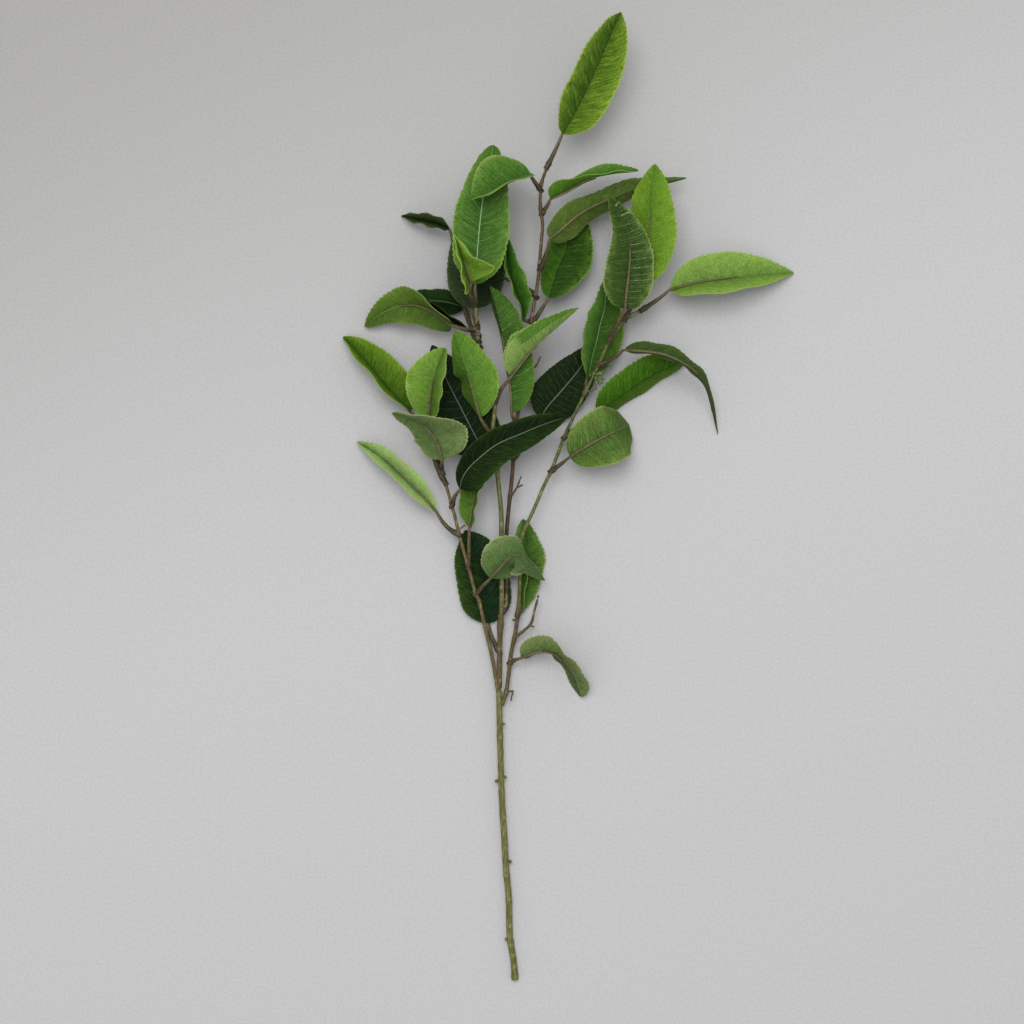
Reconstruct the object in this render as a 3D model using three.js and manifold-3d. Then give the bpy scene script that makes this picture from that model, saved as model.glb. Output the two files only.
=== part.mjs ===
// An osmanthus branch, lying on a table: a bare olive stem that splits into four leafy shoots.
// Millimetres, +Z up, +Y from the cut end to the top leaf. Each leaf is a thin cut blade with a
// toothed edge, glued along a moulded rib. The rib, its stalk and the shoot are one moulding.
import * as THREE from 'three';
import { mergeVertices } from 'three/addons/utils/BufferGeometryUtils.js';
import Module from 'manifold-3d';

const wasm = await Module();
wasm.setup();

// Places in the tables are read straight from above, by an eye over the middle of the table:
// X and Y where that eye sees the point against the table top, Z the point's real height.
const EYE_HEIGHT = 2400;

// Thickness of a blade, the air between pieces that touch, and how far teeth are cut in.
const BLADE_THICKNESS = 0.7;
const SEAT_GAP = 0.3;
const TOOTH_DEPTH = 1.3;
const TOOTH_SLANT = 0.25;

// Rows of points across a blade, from its base to its tip, and how much of it the rib follows.
const BLADE_ROWS = 10;
const RIB_ROWS = 6;
const RIB_WINDOW = 0.28;

// Radii of a stalk where it leaves the shoot, where the blade starts and at the rib's far end.
const STALK_RADIUS = 2.1;
const RIB_RADIUS = 1.25;
const RIB_END_RADIUS = 0.7;
const STALK_STEPS = 4;
const STALK_SIDES = 5;

const COLORS = {
  olive_stem: 0x77723f,
  tan_stem: 0x8a7449,
  brown_stem: 0x6b4f3c,
  lime: 0x79a838,
  fresh: 0x63923a,
  mid: 0x47742c,
  sage: 0x6d9263,
  deep: 0x2b4a20,
  night: 0x16280f,
};

// Shoots: name, colour, radii at the start and the end, sides, steps, route.
const SHOOTS = [
  ['main_stem', 'olive_stem', 3.2, 3.0, 8, 22, [
    [3, -468.5, 3], [2.4, -457, 3], [1.2, -446, 3], [-2, -425, 3.6], [-3.3, -385, 4.5],
    [-6, -356, 5], [-7.6, -326, 5.5],
    [-9.6, -296, 6.2], [-10.8, -267, 7], [-11.6, -237, 8], [-12.4, -208, 9], [-12.8, -177, 10]]],
  ['shoot_middle', 'brown_stem', 2.7, 1.7, 7, 26, [
    [-12.7, -178, 10], [-12.5, -146, 9.5], [-11.7, -115, 11], [-10.6, -99, 13], [-10.2, -64, 19],
    [-10.5, -26, 25],
    [-11, 2, 29], [-13.8, 30, 32], [-15, 43, 34], [-18, 72, 39.5], [-19, 87, 42], [-17.5, 104, 44],
    [-22, 127, 46], [-28, 150, 49], [-32.7, 166, 51], [-35.3, 191, 54], [-37, 212, 57]]],
  ['shoot_left', 'tan_stem', 2.0, 1.5, 6, 16, [
    [-13.5, -182, 10.5], [-19.6, -146, 9.5], [-27, -115, 10], [-33, -89, 13], [-36.3, -81, 14],
    [-44.6, -51, 18.5],
    [-52, -26, 21], [-57, -5, 23], [-61.2, 10, 25], [-66.8, 30, 27], [-71, 45, 28]]],
  ['shoot_right', 'tan_stem', 2.1, 1.5, 6, 30, [
    [-10.5, -194, 11], [-6.3, -182, 10], [-3.4, -163, 9], [-0.5, -139, 9], [2.8, -124, 10], [5.9, -101, 13],
    [8, -64, 20], [7, -36, 24], [11, -21, 24], [21.7, 2, 23], [31, 24, 22], [39.2, 41, 22], [52, 74, 22],
    [62.7, 98, 22], [72.9, 119, 25], [85.7, 145, 29], [97.9, 172, 35], [114, 193, 37], [130, 202, 37]]],
  ['shoot_top', 'brown_stem', 2.2, 1.5, 6, 28, [
    [-10.6, -103, 12.5], [-6.2, -95, 13], [-5.5, -81, 14], [-4.9, -64, 16], [-5.7, -26, 21], [-3.6, 0, 24],
    [0, 35, 28], [2, 59, 30], [4.5, 87, 32], [9, 122, 34], [14, 160, 35], [19.8, 194, 36], [26, 232, 37.5],
    [28.8, 264, 38.5], [30.5, 290, 40], [28.8, 300, 41], [28.3, 316, 42], [28.8, 326, 43], [35, 345, 45]]],
];

// Bare twiglets: shoot, radius at the start and at the end, route.
const TWIGS = [
  ['shoot_right', 1.5, 1.0, [[1.5, -126.5, 10], [11.9, -118.6, 12], [19.2, -111, 13],
   [22.9, -97, 14], [26, -86, 15]]],
  ['shoot_right', 0.9, 0.6, [[17, -113, 12.5], [21, -114.6, 13]]],
  ['shoot_right', 1.0, 0.6, [[-5.5, -180, 10], [0.3, -179.6, 11], [-1, -187.5, 11]]],
  ['shoot_right', 1.2, 0.7, [[74, 121, 25.4], [79, 121, 27], [83, 123, 28]]],
  ['shoot_top', 1.0, 0.6, [[-0.6, 16, 26], [4.5, 24, 29], [8.6, 34, 32]]],
  ['shoot_top', 0.8, 0.6, [[4.5, 24, 29], [9.6, 26.6, 31]]],
  ['shoot_top', 1.0, 0.7, [[12, 144, 34.5], [22.9, 145, 36], [28, 154, 38]]],
  ['shoot_left', 1.0, 0.6, [[-54, -18, 21.5], [-48, -14, 23]]],
];

// Leaves: name, shoot, side that faces up, colour, half-width, shape (where along the blade it is widest,
// and how pointed its ends are), tilts of the left and the right half in degrees at even steps from base
// to tip (0 lies flat, plus is raised, past 90 is folded over), stalk route, rib route.
const LEAVES = [
  ['leaf_top', 'shoot_top', 'upper', 'lime', 28, [0.43, 1.5], [46, 46, 50], [8, 6, 34],
    [[35, 345, 45], [43, 361, 46]],
    [[51, 378, 46], [64, 401, 50], [84, 443, 56], [99, 478, 60], [109, 500, 58]]],
  ['leaf_curl_left', 'shoot_top', 'upper', 'fresh', 31, [0.42, 1.4], [62, 80, 80], [0, -4, -8],
    [[28.5, 322, 43], [22, 331, 50]],
    [[18, 339, 56], [-5, 330, 72], [-22, 320, 84], [-41, 312, 88]]],
  ['leaf_twist_top', 'shoot_top', 'under', 'fresh', 20, [0.42, 1.0], [25, 86, 95], [-95, -128, -150],
    [[30, 298, 40.5], [35, 306, 44]],
    [[38, 314, 47], [54, 321, 50], [75, 332, 54], [100, 338, 54], [127, 341, 48]]],
  ['leaf_arch', 'shoot_top', 'under', 'mid', 24, [0.33, 1.15], [-40, -48, -45], [-50, -66, -80],
    [[28, 243, 38], [32, 252, 43], [36, 265, 48]],
    [[38, 273, 51], [52, 285, 54], [69, 299, 54], [91, 310, 50], [122, 323, 40], [143, 329, 32],
     [175, 334, 21]]],
  ['leaf_big_top', 'shoot_top', 'upper', 'mid', 30, [0.45, 1.4], [-48, -52, -40], [-6, -10, -12],
    [[20, 190, 36], [27, 198, 34], [32, 207, 33]],
    [[37, 214, 32], [45, 240, 31], [53, 259, 29], [59, 284, 26], [66, 308, 22]]],
  ['leaf_narrow', 'shoot_top', 'upper', 'mid', 21, [0.45, 1.5], [80, 83, 75], [50, 46, 50],
    [[19.5, 191, 36], [15, 191, 35]],
    [[12, 192, 34], [9, 207, 33], [3.5, 220, 33], [-2, 237, 32], [-5, 254, 31], [-4, 275, 30]]],
  ['leaf_dark_top', 'shoot_top', 'upper', 'deep', 20, [0.45, 1.4], [10, 12, 10], [-10, -12, -10],
    [[24, 215, 37], [13, 225, 28], [-1, 231, 23]],
    [[-9, 235, 21], [-20, 247, 20], [-28, 262, 19], [-32, 277, 18], [-34, 300, 16]]],
  ['leaf_center_long', 'shoot_top', 'under', 'mid', 26, [0.42, 1.3], [-86, -86, -80], [-10, -8, -15],
    [[4, 84, 31.5], [2, 92, 38]],
    [[0.5, 99, 43], [-1, 125, 47], [-6.7, 162, 49], [-15, 201, 48], [-22.5, 226, 45]]],
  ['leaf_dark_right', 'shoot_top', 'upper', 'night', 26, [0.42, 1.4], [14, 16, 10], [-45, -12, -6],
    [[1.8, 53, 29.5], [12, 68, 25], [22, 84, 21]],
    [[28, 94, 19], [36, 106, 17], [50, 122, 14], [68, 144, 11], [85, 170, 9]]],
  ['leaf_big_light', 'shoot_middle', 'upper', 'fresh', 30, [0.54, 1.2], [-22, -26, -20], [-6, -4, -10],
    [[-36.7, 208, 56], [-37, 219, 60]],
    [[-37, 228, 63], [-35.5, 247, 66], [-33, 279, 70], [-29, 313, 71], [-18.6, 367, 62]]],
  ['leaf_corner', 'shoot_middle', 'under', 'lime', 28, [0.22, 0.9], [74, 78, 80], [-6, 6, 56, 70],
    [[-36.9, 206, 56], [-42, 218, 73]],
    [[-42.6, 230, 87], [-46, 240, 94], [-50, 254, 100], [-58.6, 277.7, 104]]],
  ['leaf_dark_behind', 'shoot_middle', 'upper', 'deep', 30, [0.48, 1.2], [-12, -14, -10], [-12, -14, -10],
    [[-35, 188, 53.5], [-38, 197, 47]],
    [[-38, 204, 41], [-37, 222, 33], [-36, 245, 29], [-34, 280, 26], [-34, 317, 24]]],
  ['leaf_far_thin', 'shoot_middle', 'upper', 'deep', 15, [0.4, 1.4], [62, 66, 60], [62, 64, 60],
    [[-33.3, 171, 51.5], [-43, 190, 34], [-51, 218, 20], [-58, 262, 15]],
    [[-63, 283, 15], [-72, 287, 15], [-83, 290, 12], [-97, 293, 8], [-111, 296, 3]]],
  ['leaf_left_mid', 'shoot_middle', 'under', 'mid', 24, [0.24, 0.85], [-64, -40, -8, -20],
    [88, 84, 30, 18, 26],
    [[-34.8, 184, 53], [-44, 182, 50], [-54, 185, 46]],
    [[-60, 188, 43], [-76, 200, 40], [-95, 207, 34], [-112, 206, 27], [-130, 199, 19],
     [-147, 185, 7]]],
  ['leaf_dark_small', 'shoot_middle', 'upper', 'night', 15, [0.45, 1.3], [-25, -30, -20], [-25, -30, -20],
    [[-32, 165, 50.8], [-40, 180, 32], [-44, 198, 18]],
    [[-48, 205, 14], [-66, 210, 12], [-90, 212, 11], [-104, 213, 10]]],
  ['leaf_dark_edge', 'shoot_middle', 'upper', 'night', 9, [0.35, 1.0], [70, 70, 60], [70, 70, 60],
    [[-34, 178, 52.2], [-33, 174, 32], [-37, 177, 22]],
    [[-42, 181, 21], [-62, 193, 19], [-84, 209, 16], [-100, 221, 13]]],
  ['leaf_bright_center', 'shoot_middle', 'under', 'fresh', 29, [0.5, 1.2], [-66, -70, -50], [-4, -8, -14],
    [[-18.2, 74, 39.8], [-26, 85, 46]],
    [[-31, 95, 52], [-37, 114, 58], [-42, 133, 62], [-48, 150, 63], [-56, 181, 57]]],
  ['leaf_diagonal', 'shoot_middle', 'under', 'fresh', 26, [0.42, 1.4], [40, 42, 40], [-160, -160, -150],
    [[-18, 107, 44.2], [-11, 122, 50]],
    [[-2, 137, 56], [7, 148, 59], [17, 160, 61], [26, 168, 61], [48, 187, 58], [67, 204, 52]]],
  ['leaf_dark_left', 'shoot_middle', 'upper', 'night', 29, [0.42, 1.4], [-8, -10, -10], [12, 10, 8],
    [[-16, 50, 35.2], [-23, 56, 32]],
    [[-29, 62, 30], [-34, 71, 29], [-51, 104, 29], [-67, 136, 28], [-80, 167, 24]]],
  ['leaf_right_bright', 'shoot_right', 'under', 'lime', 28, [0.46, 1.5], [-2, 0, 0], [52, 58, 50],
    [[130, 202, 37], [145, 212, 31]],
    [[158, 221, 26], [181, 228, 23], [215, 233, 19], [243, 237, 12], [282, 239, 1]]],
  ['leaf_yellow_back', 'shoot_right', 'under', 'lime', 27, [0.46, 1.4], [-38, -42, -30], [0, 0, 0],
    [[113, 192, 37], [120, 207, 41]],
    [[128, 226, 46], [133, 250, 52], [138, 280, 57], [139, 319, 57], [143, 348, 52]]],
  ['leaf_veined', 'shoot_right', 'under', 'mid', 26, [0.35, 1.05], [-18, -20, -24], [-8, -14, -24],
    [[97, 170, 34.8], [102, 182, 42], [109, 195, 50]],
    [[113, 203, 55], [115, 223, 61], [117, 240, 65], [118, 264, 70], [114, 286, 68], [97, 316, 58]]],
  ['leaf_twist_right', 'shoot_right', 'upper', 'mid', 27, [0.46, 1.3], [60, 58, 38], [-6, -10, -12],
    [[72.5, 118, 24], [74, 127, 22]],
    [[76, 134, 21], [80, 155, 20], [84, 170, 20], [88, 188, 20], [92, 202, 20], [94, 233, 18]]],
  ['leaf_droop', 'shoot_right', 'under', 'mid', 19, [0.33, 1.3], [-45, -60, -72], [-86, -84, -76],
    [[86, 146, 29], [101, 154, 36], [107, 158, 40]],
    [[112, 162, 43], [134, 161, 53], [155, 157, 58], [178, 145, 54], [191, 132, 45],
     [199, 115, 31], [206, 77, 1]]],
  ['leaf_right_low', 'shoot_right', 'upper', 'fresh', 23, [0.46, 1.2], [24, 22, 10], [-60, -66, -60],
    [[52, 74, 22], [67, 86, 21], [78, 93, 19]],
    [[86, 99, 18], [98, 108, 19], [119, 123, 22], [139, 136, 23], [158, 145, 19], [176, 154, 12]]],
  ['leaf_round_right', 'shoot_right', 'under', 'sage', 30, [0.42, 1.0], [-6, -8, -10], [-10, -8, -10],
    [[39, 40.5, 22], [49, 48, 27]],
    [[58, 55, 33], [75, 66, 41], [91, 74.5, 44], [104, 81, 41], [110, 84, 30], [114, 86, 16],
     [117, 87, 6]]],
  ['leaf_lower_right', 'shoot_right', 'under', 'fresh', 21, [0.46, 1.3], [108, 100, 10], [0, 0, 0],
    [[5.6, -103, 12.8], [7.5, -101, 8]],
    [[9, -98, 6], [9.5, -78, 4.5], [11, -58, 4], [14, -44, 4], [13, -28, 4], [11, -7, 4]]],
  ['leaf_droop_low', 'shoot_right', 'under', 'sage', 19, [0.42, 0.62], [0, 18, 74, 58, 14],
    [-75, -88, -75, -65, -60],
    [[-2, -151, 9], [3, -148, 12]],
    [[9, -145, 16], [24, -140, 22], [36, -139.5, 25], [46, -143, 24], [55, -152, 20],
     [65, -169, 14], [70, -185, 7]]],
  ['leaf_far_left', 'shoot_left', 'upper', 'lime', 25, [0.36, 1.05], [78, 76, 70], [8, 18, 34],
    [[-69.5, 39, 27.6], [-83, 68, 20], [-94, 90, 15]],
    [[-101, 101, 13], [-120, 121, 11], [-137, 141, 9], [-153, 159, 5], [-169, 175, 1.4]]],
  ['leaf_left_round', 'shoot_left', 'under', 'fresh', 28, [0.5, 1.3], [-4, -6, -5], [62, 68, 60],
    [[-66.5, 29, 26.8], [-77, 50, 31], [-82, 72, 35]],
    [[-83, 89, 38], [-81, 111, 42], [-79, 128, 45], [-76, 142, 46], [-67, 164, 43]]],
  ['leaf_pale_left', 'shoot_left', 'under', 'sage', 33, [0.3, 1.0], [-50, -56, -50], [0, 4, 68, 82, 82],
    [[-71, 44, 28], [-70, 48, 38]],
    [[-69, 52, 45], [-75, 71, 53], [-85, 85, 57], [-99, 93, 56], [-120, 99, 50]]],
  ['leaf_left_low', 'shoot_left', 'under', 'lime', 20, [0.48, 1.3], [66, 70, 68], [48, 48, 50],
    [[-53, -23, 21.2], [-65, -15, 19], [-72, -6, 17.5]],
    [[-76, 0, 16], [-90, 16, 14], [-111, 36, 12], [-133, 56, 7], [-155, 70, 2]]],
  ['leaf_sickle', 'shoot_left', 'upper', 'deep', 22, [0.36, 1.0], [-60, -52, -44, -22, -14], [-5, -6, -8],
    [[-60, 6, 24.5], [-57, 16, 32]],
    [[-52, 23, 40], [-50, 33, 48], [-44, 43, 54], [-35, 52, 58], [-16, 67, 60], [11, 79, 56],
     [33, 88, 50], [54, 95, 42]]],
  ['leaf_behind_sickle', 'shoot_left', 'under', 'fresh', 20, [0.46, 1.4], [-30, -34, -20], [80, 84, 80],
    [[-43.4, -55, 18], [-43, -38, 20]],
    [[-41, -16, 22], [-39, 0, 24], [-36, 15, 25], [-31, 28, 25], [-22, 40, 25]]],
  ['leaf_pale_mid', 'shoot_left', 'under', 'sage', 26, [0.33, 1.0], [-4, -10, -40, -72, -75],
    [-44, -58, -30, -30, -50],
    [[-36, -82, 13.8], [-29, -74, 20]],
    [[-22, -66, 28], [-13, -56, 38], [-5, -48, 44], [3, -43, 47], [12, -47, 44], [22, -57, 36],
     [33, -68.5, 28]]],
  ['leaf_dark_lower', 'shoot_middle', 'upper', 'deep', 27, [0.4, 1.5], [4, 4, 4], [5, 5, 5],
    [[-12.4, -141, 9.6], [-19.5, -127, 7], [-22.6, -117, 5.5]],
    [[-23, -111, 4.6], [-25, -93, 4], [-32, -53, 4], [-40, -33, 4.6], [-47, -18, 5.5]]],
];

const radians = THREE.MathUtils.degToRad;
const UP = new THREE.Vector3(0, 0, 1);

// A table place pulled in towards the eye, to the point in space that it sees there.
function placed([x, y, z]) {
  const pull = 1 - z / EYE_HEIGHT;
  return new THREE.Vector3(x * pull, y * pull, z);
}

function curveThrough(route) {
  return new THREE.CatmullRomCurve3(route.map(placed), false, 'centripetal');
}

function toSolid(geometry) {
  const bare = geometry.clone();
  bare.deleteAttribute('normal');
  bare.deleteAttribute('uv');
  const merged = mergeVertices(bare, 1e-4);
  return new wasm.Manifold(new wasm.Mesh({
    numProp: 3,
    vertProperties: new Float32Array(merged.attributes.position.array),
    triVerts: new Uint32Array(merged.index.array),
  }));
}

function toGeometry(solid) {
  const mesh = solid.getMesh();
  const geometry = new THREE.BufferGeometry();
  geometry.setAttribute('position', new THREE.BufferAttribute(new Float32Array(mesh.vertProperties), 3));
  geometry.setIndex(new THREE.BufferAttribute(new Uint32Array(mesh.triVerts), 1));
  return geometry;
}

// A round bar through a list of centres, with a radius at each, closed at both ends.
function bar(centres, radii, sides) {
  const steps = centres.length - 1;
  const geometry = new THREE.CylinderGeometry(1, 1, 1, sides, steps, false, Math.PI / sides);
  const points = geometry.attributes.position;
  for (let i = 0; i < points.count; i += 1) {
    const ring = Math.round((points.getY(i) + 0.5) * steps);
    const before = centres[Math.max(ring - 1, 0)];
    const after = centres[Math.min(ring + 1, steps)];
    const along = after.clone().sub(before).normalize();
    const side = along.clone().cross(UP).normalize();
    const rise = side.clone().cross(along);
    const spot = centres[ring].clone();
    spot.addScaledVector(side, points.getX(i) * radii[ring]);
    spot.addScaledVector(rise, points.getZ(i) * radii[ring]);
    points.setXYZ(i, spot.x, spot.y, spot.z);
  }
  return toSolid(geometry);
}

function taperedBar(route, startRadius, endRadius, sides, steps) {
  const curve = curveThrough(route);
  const centres = curve.getPoints(steps);
  const radii = centres.map((centre, i) => THREE.MathUtils.lerp(startRadius, endRadius, i / steps));
  return bar(centres, radii, sides);
}

// Half-width of a blade along its length, as a share of its widest.
function outline([widest, pointed], v) {
  const shape = (t) => (t ** widest * (1 - t) ** (1 - widest)) ** pointed;
  return shape(v) / shape(widest);
}

function tiltAt(stops, v) {
  const place = v * (stops.length - 1);
  const stop = Math.min(Math.floor(place), stops.length - 2);
  return radians(THREE.MathUtils.lerp(stops[stop], stops[stop + 1], place - stop));
}

// The blade's own axes at v: its rib point, a level sideways direction and the direction off its face.
function bladeFrame(curve, v) {
  const ahead = curve.getPoint(Math.min(v + RIB_WINDOW, 1));
  const behind = curve.getPoint(Math.max(v - RIB_WINDOW, 0));
  const along = ahead.sub(behind).normalize();
  const side = along.clone().cross(UP).normalize();
  return { rib: curve.getPoint(v), side, face: side.clone().cross(along) };
}

function bladePoint(curve, leaf, v, hand, reach) {
  const { rib, side, face } = bladeFrame(curve, v);
  const tilt = tiltAt(hand < 0 ? leaf.left : leaf.right, v);
  rib.addScaledVector(side, hand * reach * Math.cos(tilt));
  return rib.addScaledVector(face, reach * Math.sin(tilt));
}

// A blade: rows of five points, a notch after each edge point, both faces split alike, and a rim.
function bladeGeometry(leaf) {
  const curve = curveThrough(leaf.rib);
  const spots = [];
  const add = (spot) => spots.push(spot) - 1;
  const base = add(curve.getPoint(0));
  const rows = [];
  for (let i = 1; i < BLADE_ROWS; i += 1) {
    const v = i / BLADE_ROWS;
    const width = leaf.half * outline(leaf.shape, v);
    const notchV = v + TOOTH_SLANT / BLADE_ROWS;
    const notch = Math.max(leaf.half * outline(leaf.shape, notchV) - TOOTH_DEPTH, leaf.half * 0.05);
    const row = { middle: add(curve.getPoint(v)) };
    for (const hand of [-1, 1]) {
      row[hand] = {
        inner: add(bladePoint(curve, leaf, v, hand, width * 0.5)),
        edge: add(bladePoint(curve, leaf, v, hand, width)),
        notch: i < BLADE_ROWS - 1 ? add(bladePoint(curve, leaf, notchV, hand, notch)) : null,
      };
    }
    rows.push(row);
  }
  const tip = add(curve.getPoint(1));
  const faces = [];
  const tri = (hand, a, b, c) => faces.push(hand > 0 ? [a, b, c] : [a, c, b]);
  const first = rows[0];
  const last = rows[rows.length - 1];
  const rim = [base];
  for (const hand of [1, -1]) {
    const edgeLine = [];
    tri(hand, base, first[hand].edge, first[hand].inner);
    tri(hand, base, first[hand].inner, first.middle);
    for (let i = 0; i < rows.length; i += 1) {
      const { inner, edge, notch } = rows[i][hand];
      edgeLine.push(edge);
      if (i === rows.length - 1) break;
      const next = rows[i + 1];
      edgeLine.push(notch);
      tri(hand, inner, edge, notch);
      tri(hand, inner, notch, next[hand].inner);
      tri(hand, notch, next[hand].edge, next[hand].inner);
      tri(hand, rows[i].middle, inner, next[hand].inner);
      tri(hand, rows[i].middle, next[hand].inner, next.middle);
    }
    tri(hand, last[hand].edge, tip, last[hand].inner);
    tri(hand, last[hand].inner, tip, last.middle);
    rim.push(...(hand > 0 ? [...edgeLine, tip] : edgeLine.reverse()));
  }
  return thickened(spots, faces, rim);
}

// Both faces of a sheet, half a thickness each way along its own normals, joined round the rim.
function thickened(spots, faces, rim) {
  const normals = spots.map(() => new THREE.Vector3());
  for (const [a, b, c] of faces) {
    const across = spots[b].clone().sub(spots[a]).cross(spots[c].clone().sub(spots[a])).normalize();
    normals[a].add(across);
    normals[b].add(across);
    normals[c].add(across);
  }
  const positions = [];
  for (const way of [1, -1]) {
    spots.forEach((spot, i) => {
      const moved = spot.clone().addScaledVector(normals[i].normalize(), way * BLADE_THICKNESS / 2);
      positions.push(moved.x, moved.y, moved.z);
    });
  }
  const count = spots.length;
  const index = [];
  for (const [a, b, c] of faces) {
    index.push(a, b, c, a + count, c + count, b + count);
  }
  rim.forEach((here, i) => {
    const next = rim[(i + 1) % rim.length];
    index.push(here, here + count, next + count, here, next + count, next);
  });
  const geometry = new THREE.BufferGeometry();
  geometry.setAttribute('position', new THREE.Float32BufferAttribute(positions, 3));
  geometry.setIndex(index);
  return geometry;
}

// A stalk that runs on as the rib, under the blade's lower face, clear of both its halves.
function stalkAndRib(leaf) {
  const curve = curveThrough(leaf.rib);
  const centres = [];
  const radii = [];
  const lower = leaf.side === 'under' ? 0 : Math.PI;
  for (let i = 0; i <= RIB_ROWS; i += 1) {
    const v = i / BLADE_ROWS;
    const { rib, side, face } = bladeFrame(curve, v);
    const left = tiltAt(leaf.left, v);
    const right = tiltAt(leaf.right, v);
    const open = (Math.PI - left - right) / 2;
    const room = Math.min(lower ? Math.PI - open : open, Math.PI / 2);
    const turn = (Math.PI + right - left) / 2 + lower;
    const radius = THREE.MathUtils.lerp(RIB_RADIUS, RIB_END_RADIUS, i / RIB_ROWS);
    const off = (radius + BLADE_THICKNESS / 2 + SEAT_GAP) / Math.sin(room);
    centres.push(rib.addScaledVector(side, off * Math.cos(turn)).addScaledVector(face, off * Math.sin(turn)));
    radii.push(radius);
  }
  const approach = new THREE.CatmullRomCurve3([...leaf.stalk.map(placed), centres[0]], false, 'centripetal');
  const steps = STALK_STEPS;
  for (let i = steps - 1; i >= 0; i -= 1) {
    centres.unshift(approach.getPoint(i / steps));
    radii.unshift(THREE.MathUtils.lerp(STALK_RADIUS, RIB_RADIUS, i / steps));
  }
  return bar(centres, radii, STALK_SIDES);
}

function pieceMesh(name, color, geometry) {
  const finish = { color: COLORS[color], roughness: 0.65, metalness: 0 };
  const mesh = new THREE.Mesh(geometry, new THREE.MeshStandardMaterial(finish));
  mesh.name = name;
  return mesh;
}

// The largest body of a solid that a cut has split.
function mainBody(solid) {
  return solid.decompose().reduce((best, next) => (next.volume() > best.volume() ? next : best));
}

const leaves = LEAVES.map(([name, shoot, side, color, half, shape, left, right, stalk, rib]) => (
  { name, shoot, side, color, half, shape, left, right, stalk, rib }));

const branch = new THREE.Group();
let cores = null;
for (const [name, color, startRadius, endRadius, sides, steps, route] of SHOOTS) {
  let solid = taperedBar(route, startRadius, endRadius, sides, steps);
  const core = taperedBar(route, startRadius + SEAT_GAP, endRadius + SEAT_GAP, sides, steps);
  for (const [shoot, twigStart, twigEnd, twigRoute] of TWIGS.filter((twig) => twig[0] === name)) {
    solid = solid.add(taperedBar(twigRoute, twigStart, twigEnd, 5, 4));
  }
  for (const leaf of leaves.filter((one) => one.shoot === name)) {
    solid = solid.add(stalkAndRib(leaf));
  }
  if (cores) solid = mainBody(solid.subtract(cores));
  cores = cores ? cores.add(core) : core;
  branch.add(pieceMesh(name, color, toGeometry(solid)));
}
for (const leaf of leaves) {
  branch.add(pieceMesh(leaf.name, leaf.color, bladeGeometry(leaf)));
}

// The origin: on the table, under the middle of the branch's box.
const box = new THREE.Box3().setFromObject(branch);
const middle = box.getCenter(new THREE.Vector3());
branch.position.set(-middle.x, -middle.y, -box.min.z);

export default branch;
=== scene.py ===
# Looks of an osmanthus branch that lies on a pale table: cut fabric leaves with toothed edges,
# glued on brown moulded ribs that grow out of the branch's four shoots.
import math
import random

import bpy
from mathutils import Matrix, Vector


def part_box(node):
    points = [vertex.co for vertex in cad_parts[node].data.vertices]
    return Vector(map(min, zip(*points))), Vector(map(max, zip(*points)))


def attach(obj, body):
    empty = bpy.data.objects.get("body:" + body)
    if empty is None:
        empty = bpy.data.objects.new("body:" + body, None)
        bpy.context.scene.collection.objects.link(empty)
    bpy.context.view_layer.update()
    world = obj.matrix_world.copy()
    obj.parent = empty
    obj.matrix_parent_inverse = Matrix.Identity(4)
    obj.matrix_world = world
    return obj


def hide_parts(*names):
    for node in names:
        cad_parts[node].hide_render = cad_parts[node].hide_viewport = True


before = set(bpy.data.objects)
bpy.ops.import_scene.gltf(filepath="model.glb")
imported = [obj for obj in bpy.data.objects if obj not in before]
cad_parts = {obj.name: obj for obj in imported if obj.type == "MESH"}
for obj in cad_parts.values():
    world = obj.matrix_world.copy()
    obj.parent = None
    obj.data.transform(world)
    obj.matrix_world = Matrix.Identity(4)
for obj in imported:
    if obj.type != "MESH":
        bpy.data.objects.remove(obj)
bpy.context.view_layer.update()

# Lengths in the tables are millimetres, on the table that the branch lies on: X and Y where an eye
# over the middle of the table sees the point against the table top, Z the point's real height.
MM = 0.001
EYE_HEIGHT = 2400
UP = Vector((0, 0, 1))

# Points of a mesh that are closer than this, in metres, are merged.
MERGE_DISTANCE = 0.00001

# Edges flatter than this, in degrees, are shaded smooth.
BAR_ANGLE = 60
BLADE_ANGLE = 50

# Blades: thickness, teeth along an edge and the mesh's rows in each, their depth, how much of it is
# left at a tooth's start, how it swells and how it varies, columns in a half, height and number of
# the edge's waves, and a half's cup.
BLADE_THICKNESS = 0.6
TEETH = 24
TOOTH_ROWS = 5
TOOTH_DEPTH = 1.9
TOOTH_START = 0.1
TOOTH_SWELL = 0.8
TOOTH_VARIATION = (0.45, 1.25)
COLUMNS = 9
WAVE = 1.1
WAVE_COUNTS = (2.2, 3.6)
CUP = 0.8

# Shares of the rib's length over which a blade's direction and a half's tilt are evened out.
RIB_WINDOW = 0.28
TILT_WINDOW = 0.05

# Leaves with shallower teeth than the rest, as shares of the usual depth.
TOOTH_SHARES = {
    "leaf_sickle": 0.3,
    "leaf_far_left": 0.6,
    "leaf_dark_top": 0.5,
    "leaf_dark_right": 0.5,
    "leaf_dark_behind": 0.5,
    "leaf_dark_left": 0.5,
    "leaf_dark_lower": 0.6,
}

# A leaf's sleeve: radii at the shoot, under the blade's base and at the rib's end, the share of the
# blade that the rib runs under, steps along stalk and rib, and how far it starts inside the shoot.
STALK_RADIUS = 2.9
RIB_RADIUS = 1.35
RIB_END_RADIUS = 0.7
RIB_REACH = 0.6
STALK_STEPS = 4
RIB_STEPS = 6
SLEEVE_SUNK = 3.0

# The ring round a sleeve's open end (height, place and spread along the sleeve), and its grooves.
LIP_HEIGHT = 0.7
LIP_PLACE = 0.13
LIP_SPREAD = 0.022
SLEEVE_GROOVES = 5
GROOVE_DEPTH = 0.05

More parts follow.
